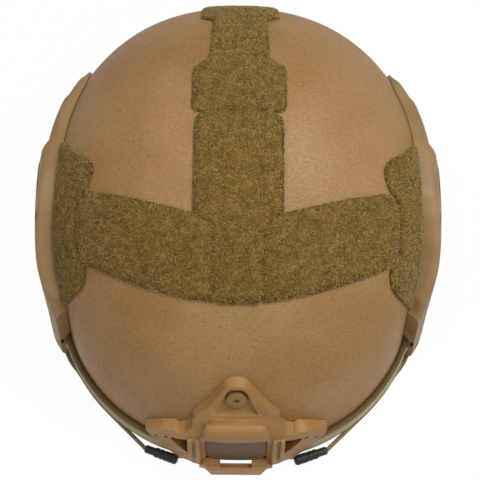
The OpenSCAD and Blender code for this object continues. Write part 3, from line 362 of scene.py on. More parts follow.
class MeshBuilder:
    """Turns points in millimetres into finished pieces at the origin."""

    @staticmethod
    def build(name: str, points: Array, faces: Iterable[Sequence[int]], sharp: float = 35.0) -> Piece:
        """Makes an object from points and faces.

        Args:
            name: The piece's name.
            points: Points in millimetres in the row's frame.
            faces: Vertex indices of each face, seen from outside in counterclockwise order.
            sharp: Angle in degrees above which an edge shades as a crease.

        Returns:
            The new object, linked to the scene.
        """
        mesh = bpy.data.meshes.new(name)
        metres = (np.asarray(points, float).reshape(-1, 3) * MM).tolist()
        mesh.from_pydata(metres, [], [list(f) for f in faces])
        mesh.update()
        mesh.shade_smooth()
        mesh.set_sharp_from_angle(angle=math.radians(sharp))
        return placed(name, mesh)

    @staticmethod
    def grid_faces(rows: int, columns: int, wrap: bool = False, start: int = 0,
                   flip: bool = False) -> list[tuple[int, ...]]:
        """Faces of a grid of points.

        Args:
            rows, columns: The grid's size in points.
            wrap: Joins the last column to the first.
            start: Index of the grid's first point.
            flip: Turns the faces over.

        Returns:
            A list of four-cornered faces.
        """
        faces = []
        for j in range(rows - 1):
            for i in range(columns if wrap else columns - 1):
                a, b = start + j * columns + i, start + j * columns + (i + 1) % columns
                quad = (a, b, b + columns, a + columns)
                faces.append(quad[::-1] if flip else quad)
        return faces

    @classmethod
    def loft(cls, name: str, rings: Array, closed: bool = False, sharp: float = 35.0) -> Piece:
        """A solid through rings of points.

        Args:
            name: The piece's name.
            rings: The rings, each with the same number of points, in millimetres.
            closed: Joins the last ring to the first instead of giving both flat ends.
            sharp: Angle in degrees above which an edge shades as a crease.

        Returns:
            The piece.
        """
        rings = np.asarray(rings, float)
        n, k = rings.shape[:2]
        faces = []
        for j in range(n if closed else n - 1):
            for i in range(k):
                a, b = j * k + i, j * k + (i + 1) % k
                c, d = ((j + 1) % n) * k + i, ((j + 1) % n) * k + (i + 1) % k
                faces.append((a, c, d, b))
        points = rings.reshape(-1, 3)
        if not closed:
            points = np.vstack([points, rings[0].mean(0), rings[-1].mean(0)])
            for i in range(k):
                q, e = (i + 1) % k, (n - 1) * k
                faces += [(n * k, i, q), (n * k + 1, e + q, e + i)]
        return cls.outward(cls.build(name, points, faces, sharp))

    @classmethod
    def sheet(cls, name: str, lower: Array, upper: Array, sharp: float = 50.0) -> Piece:
        """A thick sheet.

        Args:
            name: The piece's name.
            lower, upper: Grids of points in millimetres on its two faces.
            sharp: Angle in degrees above which an edge shades as a crease.

        Returns:
            The sheet.
        """
        n, k = lower.shape[:2]
        m = n * k
        rim = (list(range(k)) + [j * k + k - 1 for j in range(1, n)]
               + [(n - 1) * k + i for i in range(k - 2, -1, -1)] + [j * k for j in range(n - 2, 0, -1)])
        faces = cls.grid_faces(n, k, flip=True) + cls.grid_faces(n, k, start=m)
        for i, a in enumerate(rim):
            b = rim[(i + 1) % len(rim)]
            faces.append((a, b, m + b, m + a))
        points = np.concatenate([lower.reshape(-1, 3), upper.reshape(-1, 3)])
        return cls.outward(cls.build(name, points, faces, sharp))

    @staticmethod
    def outward(piece: Piece) -> Piece:
        """Makes every face of a closed piece point outwards.

        Args:
            piece: The piece.

        Returns:
            The same piece.
        """
        bm = bmesh.new()
        bm.from_mesh(piece.data)
        bmesh.ops.recalc_face_normals(bm, faces=bm.faces)
        bm.to_mesh(piece.data)
        bm.free()
        return piece

    @staticmethod
    def freeze(piece: Piece) -> Piece:
        """Replaces a piece's mesh by its evaluated one and removes its modifiers.

        Args:
            piece: The piece.

        Returns:
            The same piece.
        """
        graph = bpy.context.evaluated_depsgraph_get()
        mesh = bpy.data.meshes.new_from_object(piece.evaluated_get(graph), depsgraph=graph)
        piece.modifiers.clear()
        piece.data = mesh
        return piece

    @staticmethod
    def joined(name: str, pieces: Sequence[Piece]) -> Piece:
        """Joins closed pieces into one; the joined objects are removed.

        Args:
            name: Name of the new piece.
            pieces: The pieces, all unturned at the origin.

        Returns:
            The new piece.
        """
        form = bmesh.new()
        for piece in pieces:
            form.from_mesh(piece.data)
        mesh = bpy.data.meshes.new(name)
        form.to_mesh(mesh)
        form.free()
        for piece in pieces:
            bpy.data.objects.remove(piece)
        return placed(name, mesh)

    @staticmethod
    def soften(piece: Piece, width: float, angle: float) -> None:
        """Bevels a piece's edges, by a width in millimetres, where they turn by more than an angle.

        Args:
            piece: The piece.
            width: The bevel's width.
            angle: The angle in degrees.
        """
        soft = piece.modifiers.new("soft_edges", "BEVEL")
        soft.width, soft.segments = width * MM, 2
        soft.limit_method, soft.angle_limit = "ANGLE", math.radians(angle)

    @classmethod
    def dressed_copy(cls, node: str, bevel: float, angle: float = 35.0) -> Piece:
        """A copy of a CAD node with merged faces and softened edges.

        Args:
            node: The CAD node's name.
            bevel: Width of the softened edges in millimetres.
            angle: Angle in degrees from which an edge is softened.

        Returns:
            The copy, which still has to replace its node.
        """
        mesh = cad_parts[node].data.copy()
        piece = placed(f"{node}_finished", mesh)
        bm = bmesh.new()
        bm.from_mesh(mesh)
        bmesh.ops.remove_doubles(bm, verts=bm.verts, dist=MERGE_DISTANCE)
        bmesh.ops.dissolve_limit(bm, angle_limit=math.radians(FLAT_ANGLE), verts=bm.verts, edges=bm.edges)
        bm.to_mesh(mesh)
        bm.free()
        mesh.shade_smooth()
        mesh.set_sharp_from_angle(angle=math.radians(angle))
        if bevel:
            cls.soften(piece, bevel, angle)
            piece.modifiers.new("even_normals", "WEIGHTED_NORMAL").keep_sharp = True
        return piece


def install(piece: Piece, material: Material, slot: str, body: str, *nodes: str) -> Piece:
    """Dresses a piece and sets it in place of its CAD nodes.

    Args:
        piece: The finished piece.
        material: Its material.
        slot: Name of the record's material slot; not used.
        body: The body that it rides on.
        nodes: CAD nodes that it replaces.

    Returns:
        The same piece.
    """
    if material.name not in [m.name for m in piece.data.materials if m]:
        piece.data.materials.clear()
        piece.data.materials.append(material)
    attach(piece, body)
    if nodes:
        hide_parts(*nodes)
    log.info("%s rides on %s and replaces %s", piece.name, body, ", ".join(nodes) or "nothing")
    return piece


def dress(node: str, material: Material, slot: str, bevel: float, body: str = "helmet") -> Piece:
    """Sets a copy of a CAD node, with its edges softened by bevel millimetres, in its place."""
    return install(MeshBuilder.dressed_copy(node, bevel), material, slot, body, node)


class NodeTree:
    """Adds nodes to an emptied tree and feeds their inputs."""

    def __init__(self, tree: bpy.types.NodeTree) -> None:
        """Empties the tree."""
        self.tree = tree
        tree.nodes.clear()

    def add(self, kind: str, settings: dict | None = None, sockets: dict | None = None) -> bpy.types.Node:
        """Adds a node.

        Args:
            kind: The node's type name.
            settings: Its properties.
            sockets: Values or output sockets for its inputs, by name or index.

        Returns:
            The new node.
        """
        made = self.tree.nodes.new(kind)
        for key, value in (settings or {}).items():
            setattr(made, key, value)
        for key, value in (sockets or {}).items():
            self.feed(made.inputs[key], value)
        return made

    def feed(self, socket: Socket, value: object) -> None:
        """Links or sets one input.

        Args:
            socket: The input.
            value: An output, or a plain value.
        """
        if isinstance(value, Socket):
            self.tree.links.new(value, socket)
        else:
            socket.default_value = value


class Shader(NodeTree):
    """Builds one node material, ending in a principled surface."""

    def __init__(self, name: str) -> None:
        """Starts an empty material with an output and a principled surface.

        Args:
            name: Name of the material.
        """
        self.material = bpy.data.materials.new(name)
        self.material.use_nodes = True
        super().__init__(self.material.node_tree)
        self.surface = self.add("ShaderNodeBsdfPrincipled")
        self.add("ShaderNodeOutputMaterial", sockets={0: self.surface.outputs[0]})

    def node(self, kind: str, settings: dict | None = None, **sockets: object) -> bpy.types.Node:
        """Adds a node, with its inputs given by name."""
        return self.add(kind, settings, {key.replace("_", " "): value for key, value in sockets.items()})

    def coordinates(self, scale: tuple[float, float, float] = (1, 1, 1), source: str = "Object") -> Socket:
        """Object or UV coordinates, scaled."""
        place = self.node("ShaderNodeTexCoord")
        return self.node("ShaderNodeMapping", Vector=place.outputs[source], Scale=scale).outputs[0]

    def noise(self, size: float, detail: float, rough: float, where: Socket | None = None) -> Socket:
        """Noise whose features are about size millimetres wide."""
        return self.node("ShaderNodeTexNoise", Vector=where or self.coordinates(), Scale=1 / (size * MM),
                         Detail=detail, Roughness=rough).outputs[0]

    def cells(self, size: float, where: Socket | None = None, smoothness: float = 0.6) -> Socket:
        """Distance in a cell pattern of about size millimetres.

        Args:
            size: Size of a cell.
            where: Coordinates that it follows.
            smoothness: How far the cells run into each other.

        Returns:
            The distance's socket.
        """
        return self.node("ShaderNodeTexVoronoi", {"feature": "SMOOTH_F1"},
                         Vector=where or self.coordinates(), Scale=1 / (size * MM),
                         Smoothness=smoothness).outputs[0]

    def ramp(self, value: Socket, *stops: tuple[float, tuple]) -> Socket:
        """Colours along a value, from (position, colour) stops.

        Args:
            value: The value's socket.
            *stops: The stops, in rising order.

        Returns:
            The colour's socket.
        """
        made = self.node("ShaderNodeValToRGB", Fac=value)
        band = made.color_ramp
        while len(band.elements) < len(stops):
            band.elements.new(0.5)
        for element, (position, colour) in zip(band.elements, stops):
            element.position = position
            element.color = colour
        return made.outputs[0]

    def greys(self, value: Socket, *stops: tuple[float, float]) -> Socket:
        """Greys along a value, from (position, brightness) stops."""
        return self.ramp(value, *((position, grey(level)) for position, level in stops))

    def blend(self, factor: object, low: object, high: object, mode: str = "MIX") -> Socket:
        """Mixes two colours."""
        return self.add("ShaderNodeMix", {"data_type": "RGBA", "blend_type": mode},
                        {0: factor, 6: low, 7: high}).outputs[2]

    def shaded(self, colour: object, shade: object) -> Socket:
        """Multiplies a colour by a shade."""
        return self.blend(1.0, colour, shade, "MULTIPLY")

    def math(self, operation: str, first: object, second: object = 0.0) -> Socket:
        """One step of arithmetic."""
        return self.add("ShaderNodeMath", {"operation": operation}, {0: first, 1: second}).outputs[0]

    def swing(self, value: Socket, width: float) -> Socket:
        """A value about one half, turned into one about zero and widened."""
        return self.math("MULTIPLY", self.math("SUBTRACT", value, 0.5), width)

    def attribute(self, name: str) -> Socket:
        """A mesh attribute as a value."""
        return self.node("ShaderNodeAttribute", {"attribute_name": name}).outputs["Fac"]

    def bump(self, height: Socket, depth: float, strength: float) -> Socket:
        """A relief of depth millimetres."""
        return self.node("ShaderNodeBump", Height=height, Distance=depth * MM, Strength=strength).outputs[0]

    def finish(self, **sockets: object) -> Material:
        """Sets the surface's inputs and returns the material.

        Args:
            **sockets: Values or outputs by input name.

        Returns:
            The material.
        """
        for key, value in sockets.items():
            self.feed(self.surface.inputs[key.replace("_", " ")], value)
        return self.material


@dataclass(frozen=True)
class PaintFinish:
    """Matt helmet paint with a fine leathery grain."""

    base: tuple = srgb(156, 119, 72)
    warm: tuple = srgb(147, 109, 59)
    speck: tuple = srgb(104, 76, 44)
    grain_size: float = 1.15
    grain_depth: float = 0.26
    grain_stretch: tuple = (0.62, 0.9, 1.15)
    pebble_size: float = 1.9
    pebble_share: float = 0.45
    drift_size: float = 46.0
    speck_size: float = 2.6
    speck_share: float = 0.35

    def material(self) -> Material:
        """Builds the paint.

        Returns:
            The material.
        """
        s = Shader("helmet_paint")
        wide = s.coordinates(self.grain_stretch)
        grain = s.noise(self.grain_size, 3.0, 0.55, wide)
        pebble = s.cells(self.pebble_size, wide, 0.8)
        drift = s.noise(self.drift_size, 2.0, 0.5)
        tone = s.blend(s.greys(drift, (0.38, 0), (0.62, 1)), self.base, self.warm)
        tone = s.shaded(tone, s.greys(grain, (0.30, 0.78), (0.52, 0.98), (0.72, 1.12)))
        dust = s.greys(s.noise(self.speck_size, 1.0, 0.3), (0.70, 0), (0.76, 1))
        tone = s.blend(s.math("MULTIPLY", dust, self.speck_share), tone, self.speck)
        relief = s.math("ADD", grain, s.math("MULTIPLY", pebble, self.pebble_share))
        rough = s.greys(grain, (0.3, 0.64), (0.7, 0.5))
        return s.finish(Base_Color=tone, Roughness=rough, Specular_IOR_Level=0.5,
                        Normal=s.bump(relief, self.grain_depth, 0.9))


@dataclass(frozen=True)
class LoopFinish:
    """Loop pile, each loop with its own tone; the backing's tone also carries painted shade at its rim and
    sides.
    """

    dark: tuple = srgb(80, 57, 18)
    middle: tuple = srgb(131, 99, 38)
    light: tuple = srgb(176, 146, 80)
    sheen: tuple = srgb(206, 208, 164)
    sheen_roughness: float = 0.36
    drift_size: float = 5.0
    drift_width: float = 0.7
    fibre_size: float = 0.18
    fibre_depth: float = 0.12

    def material(self) -> Material:
        """Builds the pile.

        Returns:
            The material.
        """
        s = Shader("loop_pile")
        drift = s.swing(s.noise(self.drift_size, 2.0, 0.6), self.drift_width)
        level = s.math("ADD", s.attribute("tone"), drift)
        colour = s.ramp(level, (0.05, self.dark), (0.5, self.middle), (0.97, self.light))
        fibre = s.noise(self.fibre_size, 2.0, 0.7)
        return s.finish(Base_Color=colour, Roughness=0.85, Specular_IOR_Level=0.2, Sheen_Weight=1.0,
                        Sheen_Roughness=self.sheen_roughness, Sheen_Tint=self.sheen,
                        Normal=s.bump(fibre, self.fibre_depth, 0.6))


@dataclass(frozen=True)
class MouldedFinish:
    """Satin moulded plastic or rubber; its optional dark colour is painted shade, laid where the piece's own
    attribute marks a recess.
    """

    name: str
    base: tuple
    shade: tuple
    roughness: float = 0.5
    hollow: tuple | None = None
    flow_size: float = 24.0
    flow_stretch: tuple = (0.5, 1, 1.3)
    grit_size: float = 0.5
    grit_depth: float = 0.03
    wear_size: float = 7.0

    def material(self) -> Material:
        """Builds the plastic.

        Returns:
            The material.
        """
        s = Shader(self.name)
        flow = s.noise(self.flow_size, 3.0, 0.6, s.coordinates(self.flow_stretch))
        tone = s.blend(s.greys(flow, (0.35, 0), (0.68, 1)), self.base, self.shade)
        grit = s.noise(self.grit_size, 2.0, 0.6)
        tone = s.shaded(tone, s.greys(grit, (0.3, 0.94), (0.7, 1.03)))
        # Painted shade: the dark colour is laid over the marked recess faces.
        if self.hollow:
            tone = s.blend(s.attribute("hollow"), tone, self.hollow)
        rough = s.greys(s.noise(self.wear_size, 3.0, 0.6), (0.3, self.roughness - 0.06),
                        (0.7, self.roughness + 0.08))
        return s.finish(Base_Color=tone, Roughness=rough, Specular_IOR_Level=0.3,
                        Normal=s.bump(grit, self.grit_depth, 0.7))


@dataclass(frozen=True)
class TrimFinish:
    """Khaki rubber, darker along its edges with painted shade: where it meets the shell and underneath."""

    middle: tuple = srgb(170, 156, 112)
    side: tuple = srgb(128, 107, 64)
    # The darkest painted shade, by the shell and underneath.
    edge: tuple = srgb(76, 57, 28)
    fuzz_size: float = 0.8
    fuzz_depth: float = 0.22

    def material(self) -> Material:
        """Builds the rubber.

        Returns:
            The material.
        """
        s = Shader("trim_rubber")
        # Painted shade: light khaki in the open, darker towards the shell and the underside.
        colour = s.ramp(s.attribute("edge"), (0.0, self.middle), (0.45, self.side), (0.95, self.edge))
        fuzz = s.noise(self.fuzz_size, 3.0, 0.7)
        colour = s.shaded(colour, s.greys(fuzz, (0.32, 0.58), (0.66, 1.2)))
        return s.finish(Base_Color=colour, Roughness=0.85, Specular_IOR_Level=0.2, Sheen_Weight=0.25,
                        Sheen_Roughness=0.5, Normal=s.bump(fuzz, self.fuzz_depth, 0.9))


@dataclass(frozen=True)
class BraidFinish:
    """Braided cord or woven webbing, with its threads along the piece's own UV map in millimetres."""

    name: str
    base: tuple
    dark: tuple
    thread: float
    depth: float
    fray_size: float = 0.3
    fray_width: float = 0.6

    def material(self) -> Material:
        """Builds the weave from two crossing waves.

        Returns:
            The material.
        """
        s = Shader(self.name)
        where = s.coordinates(source="UV")
        turned = s.node("ShaderNodeMapping", Vector=where, Rotation=(0, 0, math.radians(45))).outputs[0]
        pick = s.node("ShaderNodeTexChecker", Vector=turned, Scale=1 / self.thread, Color1=grey(1),
                      Color2=grey(0)).outputs[1]
        wave = s.node("ShaderNodeTexWave", {"wave_type": "BANDS", "bands_direction": "DIAGONAL"},
                      Vector=where, Scale=0.35 / self.thread, Distortion=0.4).outputs[1]
        level = s.math("ADD", s.math("MULTIPLY", pick, 0.5), s.math("MULTIPLY", wave, 0.5))
        level = s.math("ADD", level, s.swing(s.noise(self.fray_size, 2.0, 0.6), self.fray_width))
        colour = s.ramp(level, (0.1, self.dark), (0.75, self.base))
        return s.finish(Base_Color=colour, Roughness=0.8, Specular_IOR_Level=0.25, Sheen_Weight=0.15,
                        Normal=s.bump(level, self.depth, 0.8))


@dataclass(frozen=True)
class SteelFinish:
    """Dark plated steel."""

    tone: tuple = srgb(88, 84, 78)
    wear_size: float = 1.2
    wear_depth: float = 0.02

    def material(self) -> Material:
        """Builds the steel.

        Returns:
            The material.
        """
        s = Shader("dark_steel")
        wear = s.noise(self.wear_size, 4.0, 0.7)
        colour = s.shaded(self.tone, s.greys(wear, (0.3, 0.75), (0.7, 1.15)))
        rough = s.greys(wear, (0.3, 0.36), (0.7, 0.52))
        return s.finish(Base_Color=colour, Metallic=0.9, Roughness=rough,
                        Normal=s.bump(wear, self.wear_depth, 0.5))


@dataclass(frozen=True)
class PadFinish:
    """Brushed fabric over foam."""

    name: str = "pad_fabric"
    base: tuple = srgb(92, 86, 72)
    dark: tuple = srgb(62, 57, 46)
    nap_size: float = 1.1
    knit_size: float = 0.8
    nap_depth: float = 0.18

    def material(self) -> Material:
        """Builds the fabric.

        Returns:
            The material.
        """
        s = Shader(self.name)
        nap = s.noise(self.nap_size, 4.0, 0.7)
        knit = s.cells(self.knit_size)
        level = s.math("ADD", s.math("MULTIPLY", nap, 0.7), s.math("MULTIPLY", knit, 0.4))
        colour = s.ramp(level, (0.25, self.dark), (0.75, self.base))
        return s.finish(Base_Color=colour, Roughness=0.9, Specular_IOR_Level=0.2, Sheen_Weight=0.35,
                        Sheen_Roughness=0.4, Normal=s.bump(level, self.nap_depth, 0.7))


class Finishes:
    """Every material of the helmet, built once."""

    def __init__(self) -> None:
        """Builds the materials."""
        self.paint = PaintFinish().material()
        self.loop = LoopFinish().material()
        self.trim = TrimFinish().material()
        # The last colour of the rail and of the shroud is painted shade for their slots.
        self.rail = MouldedFinish("rail_plastic", srgb(150, 121, 82), srgb(138, 108, 68),
                                  hollow=srgb(42, 34, 26)).material()
        self.shroud = MouldedFinish("shroud_plastic", srgb(160, 120, 70), srgb(146, 106, 58), 0.46,
                                    srgb(92, 72, 50)).material()
        self.black = MouldedFinish("black_plastic", srgb(40, 41, 37), srgb(33, 34, 31), 0.48).material()
        self.screw = MouldedFinish("painted_screw", srgb(140, 106, 64), srgb(126, 94, 54), 0.45).material()
        self.steel = SteelFinish().material()
        self.pad = PadFinish().material()
        self.grip = MouldedFinish("grip_rubber", srgb(52, 52, 48), srgb(44, 44, 41), 0.62).material()
        self.thread = MouldedFinish("sewing_thread", srgb(116, 92, 58), srgb(98, 76, 46), 0.7).material()
        self.hook_tape = PadFinish("hook_tape", srgb(46, 44, 40), srgb(28, 27, 25)).material()
        self.webbing = BraidFinish("webbing_weave", srgb(146, 118, 80), srgb(92, 70, 42),
                                   thread=1.3, depth=0.16).material()
        self.cord = BraidFinish("bungee_braid", srgb(150, 124, 84), srgb(84, 66, 38),
                                thread=0.8, depth=0.12).material()


class GeometryTree(NodeTree):
    """Builds one geometry node tree whose sizes are named inputs."""

    def __init__(self, name: str, **sizes: float | int) -> None:
        """Starts a tree with a geometry input, its named sizes and a material.

        Args:
            name: The tree's name.
            sizes: Named inputs and their values.
        """
        super().__init__(bpy.data.node_groups.new(name, "GeometryNodeTree"))
        self.values = sizes
        face = self.tree.interface
        for way in ("INPUT", "OUTPUT"):
            face.new_socket("Geometry", in_out=way, socket_type="NodeSocketGeometry")
        for key, value in sizes.items():
            kind = "NodeSocketInt" if isinstance(value, int) else "NodeSocketFloat"
            face.new_socket(key, in_out="INPUT", socket_type=kind)
        face.new_socket("Material", in_out="INPUT", socket_type="NodeSocketMaterial")
        self.given = self.add("NodeGroupInput").outputs

    def close(self, shape: Socket) -> None:
        """Ends the tree in Realize Instances and Set Material.

        Args:
            shape: The geometry that it gives.
        """
        real = self.add("GeometryNodeRealizeInstances", sockets={0: shape})
        dressed = self.add("GeometryNodeSetMaterial",
                           sockets={"Geometry": real.outputs[0], "Material": self.given["Material"]})
        self.add("NodeGroupOutput", sockets={0: dressed.outputs[0]})

    def apply(self, piece: Piece, material: Material) -> Piece:
        """Runs the tree on a piece and keeps the result as its mesh.

        Args:
            piece: The piece.
            material: What the result is made of.

        Returns:
            The same piece.
        """
        modifier = piece.modifiers.new(self.tree.name, "NODES")
        modifier.node_group = self.tree
        ids = {item.name: item.identifier for item in self.tree.interface.items_tree
               if item.item_type == "SOCKET" and item.in_out == "INPUT"}
        for key, value in self.values.items():
            modifier[ids[key]] = value
        modifier[ids["Material"]] = material
        return MeshBuilder.freeze(piece)


@dataclass
class PaintedShell:
    """The pressed shell with its rim and inner skin."""

    columns: int = 240
    rows: int = 60

    def skin(self, d: float) -> Array:
        """Grid of points from the rim towards the crown at an offset.

        Args:
            d: Offset from the paint in millimetres.

        Returns:
            The points, ring by ring.
        """
        a = -180 + np.arange(self.columns) * 360 / self.columns
        top, level = FORM.crown_height + d, FORM.equator(a)
        low = np.degrees(np.arcsin((FORM.edge(a, 0) - level) / (top - level)))
        rise = [np.sin(np.radians(mix(low, 90, j / self.rows))) for j in range(self.rows)]
        return np.stack([FORM.point(a, level + (top - level) * r, d) for r in rise])

    def build(self, looks: Finishes) -> None:
        """Makes the shell.

        Args:
            looks: The finishes.
        """
        k, n = self.columns, self.rows
        outer, inner = self.skin(0), self.skin(-FORM.wall)
        crown = np.array([0, FORM.crown_shift + FORM.shift, FORM.crown_height])
        m = n * k + 1
        points = np.vstack([outer.reshape(-1, 3), crown, inner.reshape(-1, 3), crown - [0, 0, FORM.wall]])
        faces = MeshBuilder.grid_faces(n, k, True) + MeshBuilder.grid_faces(n, k, True, m, True)
        t = (n - 1) * k
        for i in range(k):
            q = (i + 1) % k
            faces += [(t + i, t + q, m - 1), (m + t + q, m + t + i, 2 * m - 1), (q, i, m + i, m + q)]
        piece = MeshBuilder.build("painted_shell", points, faces)
        install(MeshBuilder.outward(piece), looks.paint, "shell_paint", "helmet", "shell")


@dataclass
class EdgeTrim:
    """The U of rubber over the rim."""

    columns: int = 360
    bulge: float = 3.8
    inner: float = 6.0
    tuck: float = 1.0

    def section(self) -> list[tuple[float, float, float]]:
        """Corners as (height above the rim, offset, painted shade), once around the U.

        Returns:
            The corners.
        """
        t, g, w, h, k = FORM.trim_wall, FORM.seat_gap, FORM.wall, FORM.trim_height, self.bulge
        low, deep = self.tuck + k * 0.95 - t, -w - t - 2 * g
        bead = [(h, g, 1.0), (h * 0.985, k * 0.26, 1.0), (h * 0.955, k * 0.52, 0.8)]
        for f in np.linspace(0.9, 0.24, 8):
            swell = k * (0.66 + 0.34 * math.sin(math.pi * (1 - f) ** 0.62) ** 0.5)
            bead.append((h * f, swell, 0.85 * float(clamp01((f - 0.76) / 0.2))))
        foot = [(low + 0.7, k * 0.985, 0.3), (low - 0.1, k * 0.93, 0.5), (low - 1.0, k * 0.95 - 1.0, 0.75),
                (-t + 0.1, 0.1 - self.tuck, 1.0), (-t, -self.tuck - 0.5, 1.0), (-t, -w * 0.5, 1.0),
                (-t, -w, 1.0), (-t * 0.75, -w - t * 0.7, 1.0), (0, deep, 0.8)]
        lip = [(self.inner * 0.5, deep, 0.6), (self.inner - 0.6, -w - t * 0.8 - 2 * g, 0.8),
               (self.inner, -w - 2.8 * g, 1.0)]
        inside = [(-g, -w - 2.8 * g, 1.0), (-g, -w * 0.5, 1.0), (-g, 1.2 * g, 1.0), (h / 2, 1.9 * g, 1.0)]
        return bead + foot + lip + inside

    def build(self, looks: Finishes) -> None:
        """Makes the trim.

        Args:
            looks: The finishes.
        """
        a = -180 + np.arange(self.columns) * 360 / self.columns
        section = self.section()
        rings = np.stack([FORM.point(a, FORM.edge(a, h), d) for h, d, _ in section], 1)
        piece = MeshBuilder.loft("rim_trim", rings, closed=True, sharp=50)
        # Each corner's painted shade goes into the edge attribute.
        mark(piece, "edge", "POINT", np.tile([dark for _, _, dark in section], self.columns))
        install(piece, looks.trim, "trim_rubber", "helmet", "edge_trim")


@dataclass
class LoopFabric:
    """Patches of loop fabric: a backing with a pile of loops."""

    backing: float = 1.5
    full: float = 2.4
    lift: float = 0.05
    step: float = 1.6
    edge_drop: tuple[float, ...] = (0.55, 0.18, 0.0)
    # Painted shade of the backing: darker by rows in from its rim, and on its sides.
    edge_tone: tuple[float, ...] = (0.12, 0.36, 0.45)
    side_tone: float = -0.1

    density: float = 2.06
    loop_width: float = 1.0
    loop_height: float = 0.7
    loop_arc: tuple[float, float] = (-12.0, 204.0)
    loop_lean: float = 0.5
    loop_scale: tuple[float, float] = (0.7, 1.2)
    thread: float = 0.17

    seam: float = 0.15
    seam_line: float = 0.35
    seam_catch: float = 8.0
    seam_ease: float = 3.2

    rear_y: float = 106.0
    seam_y: float = 1.5
    waist_half: float = 16.0
    waist_rear_y: float = 77.0
    waist_front_y: float = 41.0
    waist_lean: float = 0.05
    flare_run: float = 9.0
    flare_half: float = 23.0
    front_flare_half: float = 25.8
    rear_corner: float = 5.0

    centre_half: float = 24.0
    centre_corner: float = 7.0
    tongue_half: float = 13.5
    shoulder_y: float = -52.8
    tongue_y: float = -61.0
    tongue_end_y: float = -92.9
    tongue_taper: float = 3.0
    tongue_run: float = 4.0

    band_size: tuple[float, float] = (72.0, 38.0)
    band_reach: float = 93.0
    band_round: float = 6.0
    band_slant: float = 1.15
    brow_y: float = -60.3
    brow_slope: float = 0.24
    brow_curve: float = 0.0013
    rim_curve: float = 0.00385

    side_line: tuple[tuple[float, float, float], ...] = (
        (96.5, 93.5, 128.5), (93, 87, 138), (88, 81.5, 144.5), (83, 76, 146.5), (79.5, 71.5, 143.8),
        (76, 71.5, 136.5), (72, 65.8, 126), (68.5, 58.2, 113.2), (66, 53.8, 115.8), (63, 50.3, 109),
        (60.5, 50.8, 100), (58.8, 52.8, 90), (57, 55, 77.5))
    side_rows: int = 61
    side_columns: int = 26
    rail_gap: float = 1.0

    @staticmethod
    def corner(y: Array, end: float, radius: float) -> Array:
        """How much a strip's half width shrinks near a rounded end."""
        near = clamp01(1 - np.abs(y - end) / radius)
        return radius * (1 - np.sqrt(1 - near**2))

    def rear_half(self, y: Array) -> Array:
        """Half width of the rear strip.

        Args:
            y: Place along the strip.

        Returns:
            The half width in millimetres.
        """
        opened = np.maximum(smooth((y - self.waist_rear_y) / self.flare_run),
                            smooth((self.waist_front_y - y) / self.flare_run))
        waist = self.waist_half - self.waist_lean * (y - (self.waist_front_y + self.waist_rear_y) / 2)
        half = mix(waist, np.where(y > self.waist_front_y, self.flare_half, self.front_flare_half), opened)
        ends = [self.corner(y, end, self.rear_corner) for end in (self.rear_y, self.seam_y)]
        return half - ends[0] - ends[1]

    def shouldered(self, y: Array) -> Array:
        """Half width of the centre strip and its tongue before their ends are rounded."""
        f = clamp01((self.shoulder_y - y) / (self.shoulder_y - self.tongue_y))
        return mix(self.centre_half, self.tongue_half, f)

    def centre_half_at(self, y: Array) -> Array:
        """Half width of the centre strip."""
        end = self.tongue_taper * clamp01((self.tongue_end_y + self.tongue_run - y) / self.tongue_run) ** 2
        return self.shouldered(y) - end - self.corner(y, self.seam_y - FORM.seat_gap, self.centre_corner)

    def strip(self, name: str, ends: tuple[float, float], half: Callable[[Array], Array],
              looks: Finishes) -> None:
        """Makes one strip over the crown.

        Args:
            name: The CAD node that it replaces.
            ends: Places in plan where it starts and stops.
            half: Gives its half width at a place in plan.
            looks: The finishes.
        """
        n = int(abs(ends[1] - ends[0]) / self.step) + 2
        y = np.linspace(*ends, n)
        k = int(2 * self.flare_half / self.step)
        x = np.linspace(1, -1, k)[None, :] * half(y)[:, None]
        self.patch(name, lambda d: FORM.top(x, np.repeat(y[:, None], k, 1), d), n, k, looks)

    def brow(self, x: Array) -> Array:
        """Place in plan of the brow band's upper line."""
        return self.brow_y + self.brow_slope * x + self.brow_curve * x * x

    def rim(self, x: Array) -> Array:
        """Place in plan of the brow band's lower line."""
        return self.tongue_end_y + self.rim_curve * x * x

    def band_outer(self, f: Array) -> Array:
        """Sideways reach of the brow band's outer end, from its upper to its lower line."""
        return self.band_reach - self.band_round * np.abs(2 * f - 1) ** 3

    def band_inner(self, f: Array) -> Array:
        """Sideways place of the brow band's inner end, which follows the tongue.

        Args:
            f: Share of the band's height.

        Returns:
            The place in millimetres.
        """
        x = self.centre_half + 0 * f
        for _ in range(6):
            x = self.shouldered(mix(self.brow(x), self.rim(x), f)) + self.seam
        return x

    def band(self, hand: Hand, looks: Finishes) -> None:
        """Makes one brow band.

        Args:
            hand: The side.
            looks: The finishes.
        """
        columns, rows = (int(size / self.step) for size in self.band_size)
        f, u = np.broadcast_arrays(np.linspace(0, 1, rows)[None, :], np.linspace(0, 1, columns)[:, None])

        def place(d: Array) -> Array:
            """Gives the band's points at an offset."""
            slant = self.band_slant * (FORM.seat_gap + self.full - d)
            x = mix(self.band_inner(f), self.band_outer(f) - slant, u)
            return FORM.top(hand.value * x, mix(self.brow(x), self.rim(x), f), d)

        self.patch(f"loop_band_{hand.word}", place, columns, rows, looks)

    def band_end(self) -> Array:
        """Points along the brow band's outer end, on the right.

        Returns:
            The points.
        """
        f = np.linspace(0, 1, 121)
        x = self.band_outer(f)
        return FORM.top(x, mix(self.brow(x), self.rim(x), f), self.full)

    def close_seam(self, line: Array) -> None:
        """Draws the side patch's inner line up to the brow band's end, in place.

        Args:
            line: Rows of (azimuth on the rail, inner azimuth, inner height).
        """
        band = self.band_end()
        for row in line:
            here = FORM.point(row[1], row[2], self.full)
            gaps = np.linalg.norm(band - here, axis=1)
            gap = float(gaps.min())
            pull = float(smooth((self.seam_catch - gap) / self.seam_ease)) * (1 - self.seam_line / gap)
            row[1], row[2] = FORM.place_of(mix(here, band[int(gaps.argmin())], pull))
        relax(line[:, 1:])

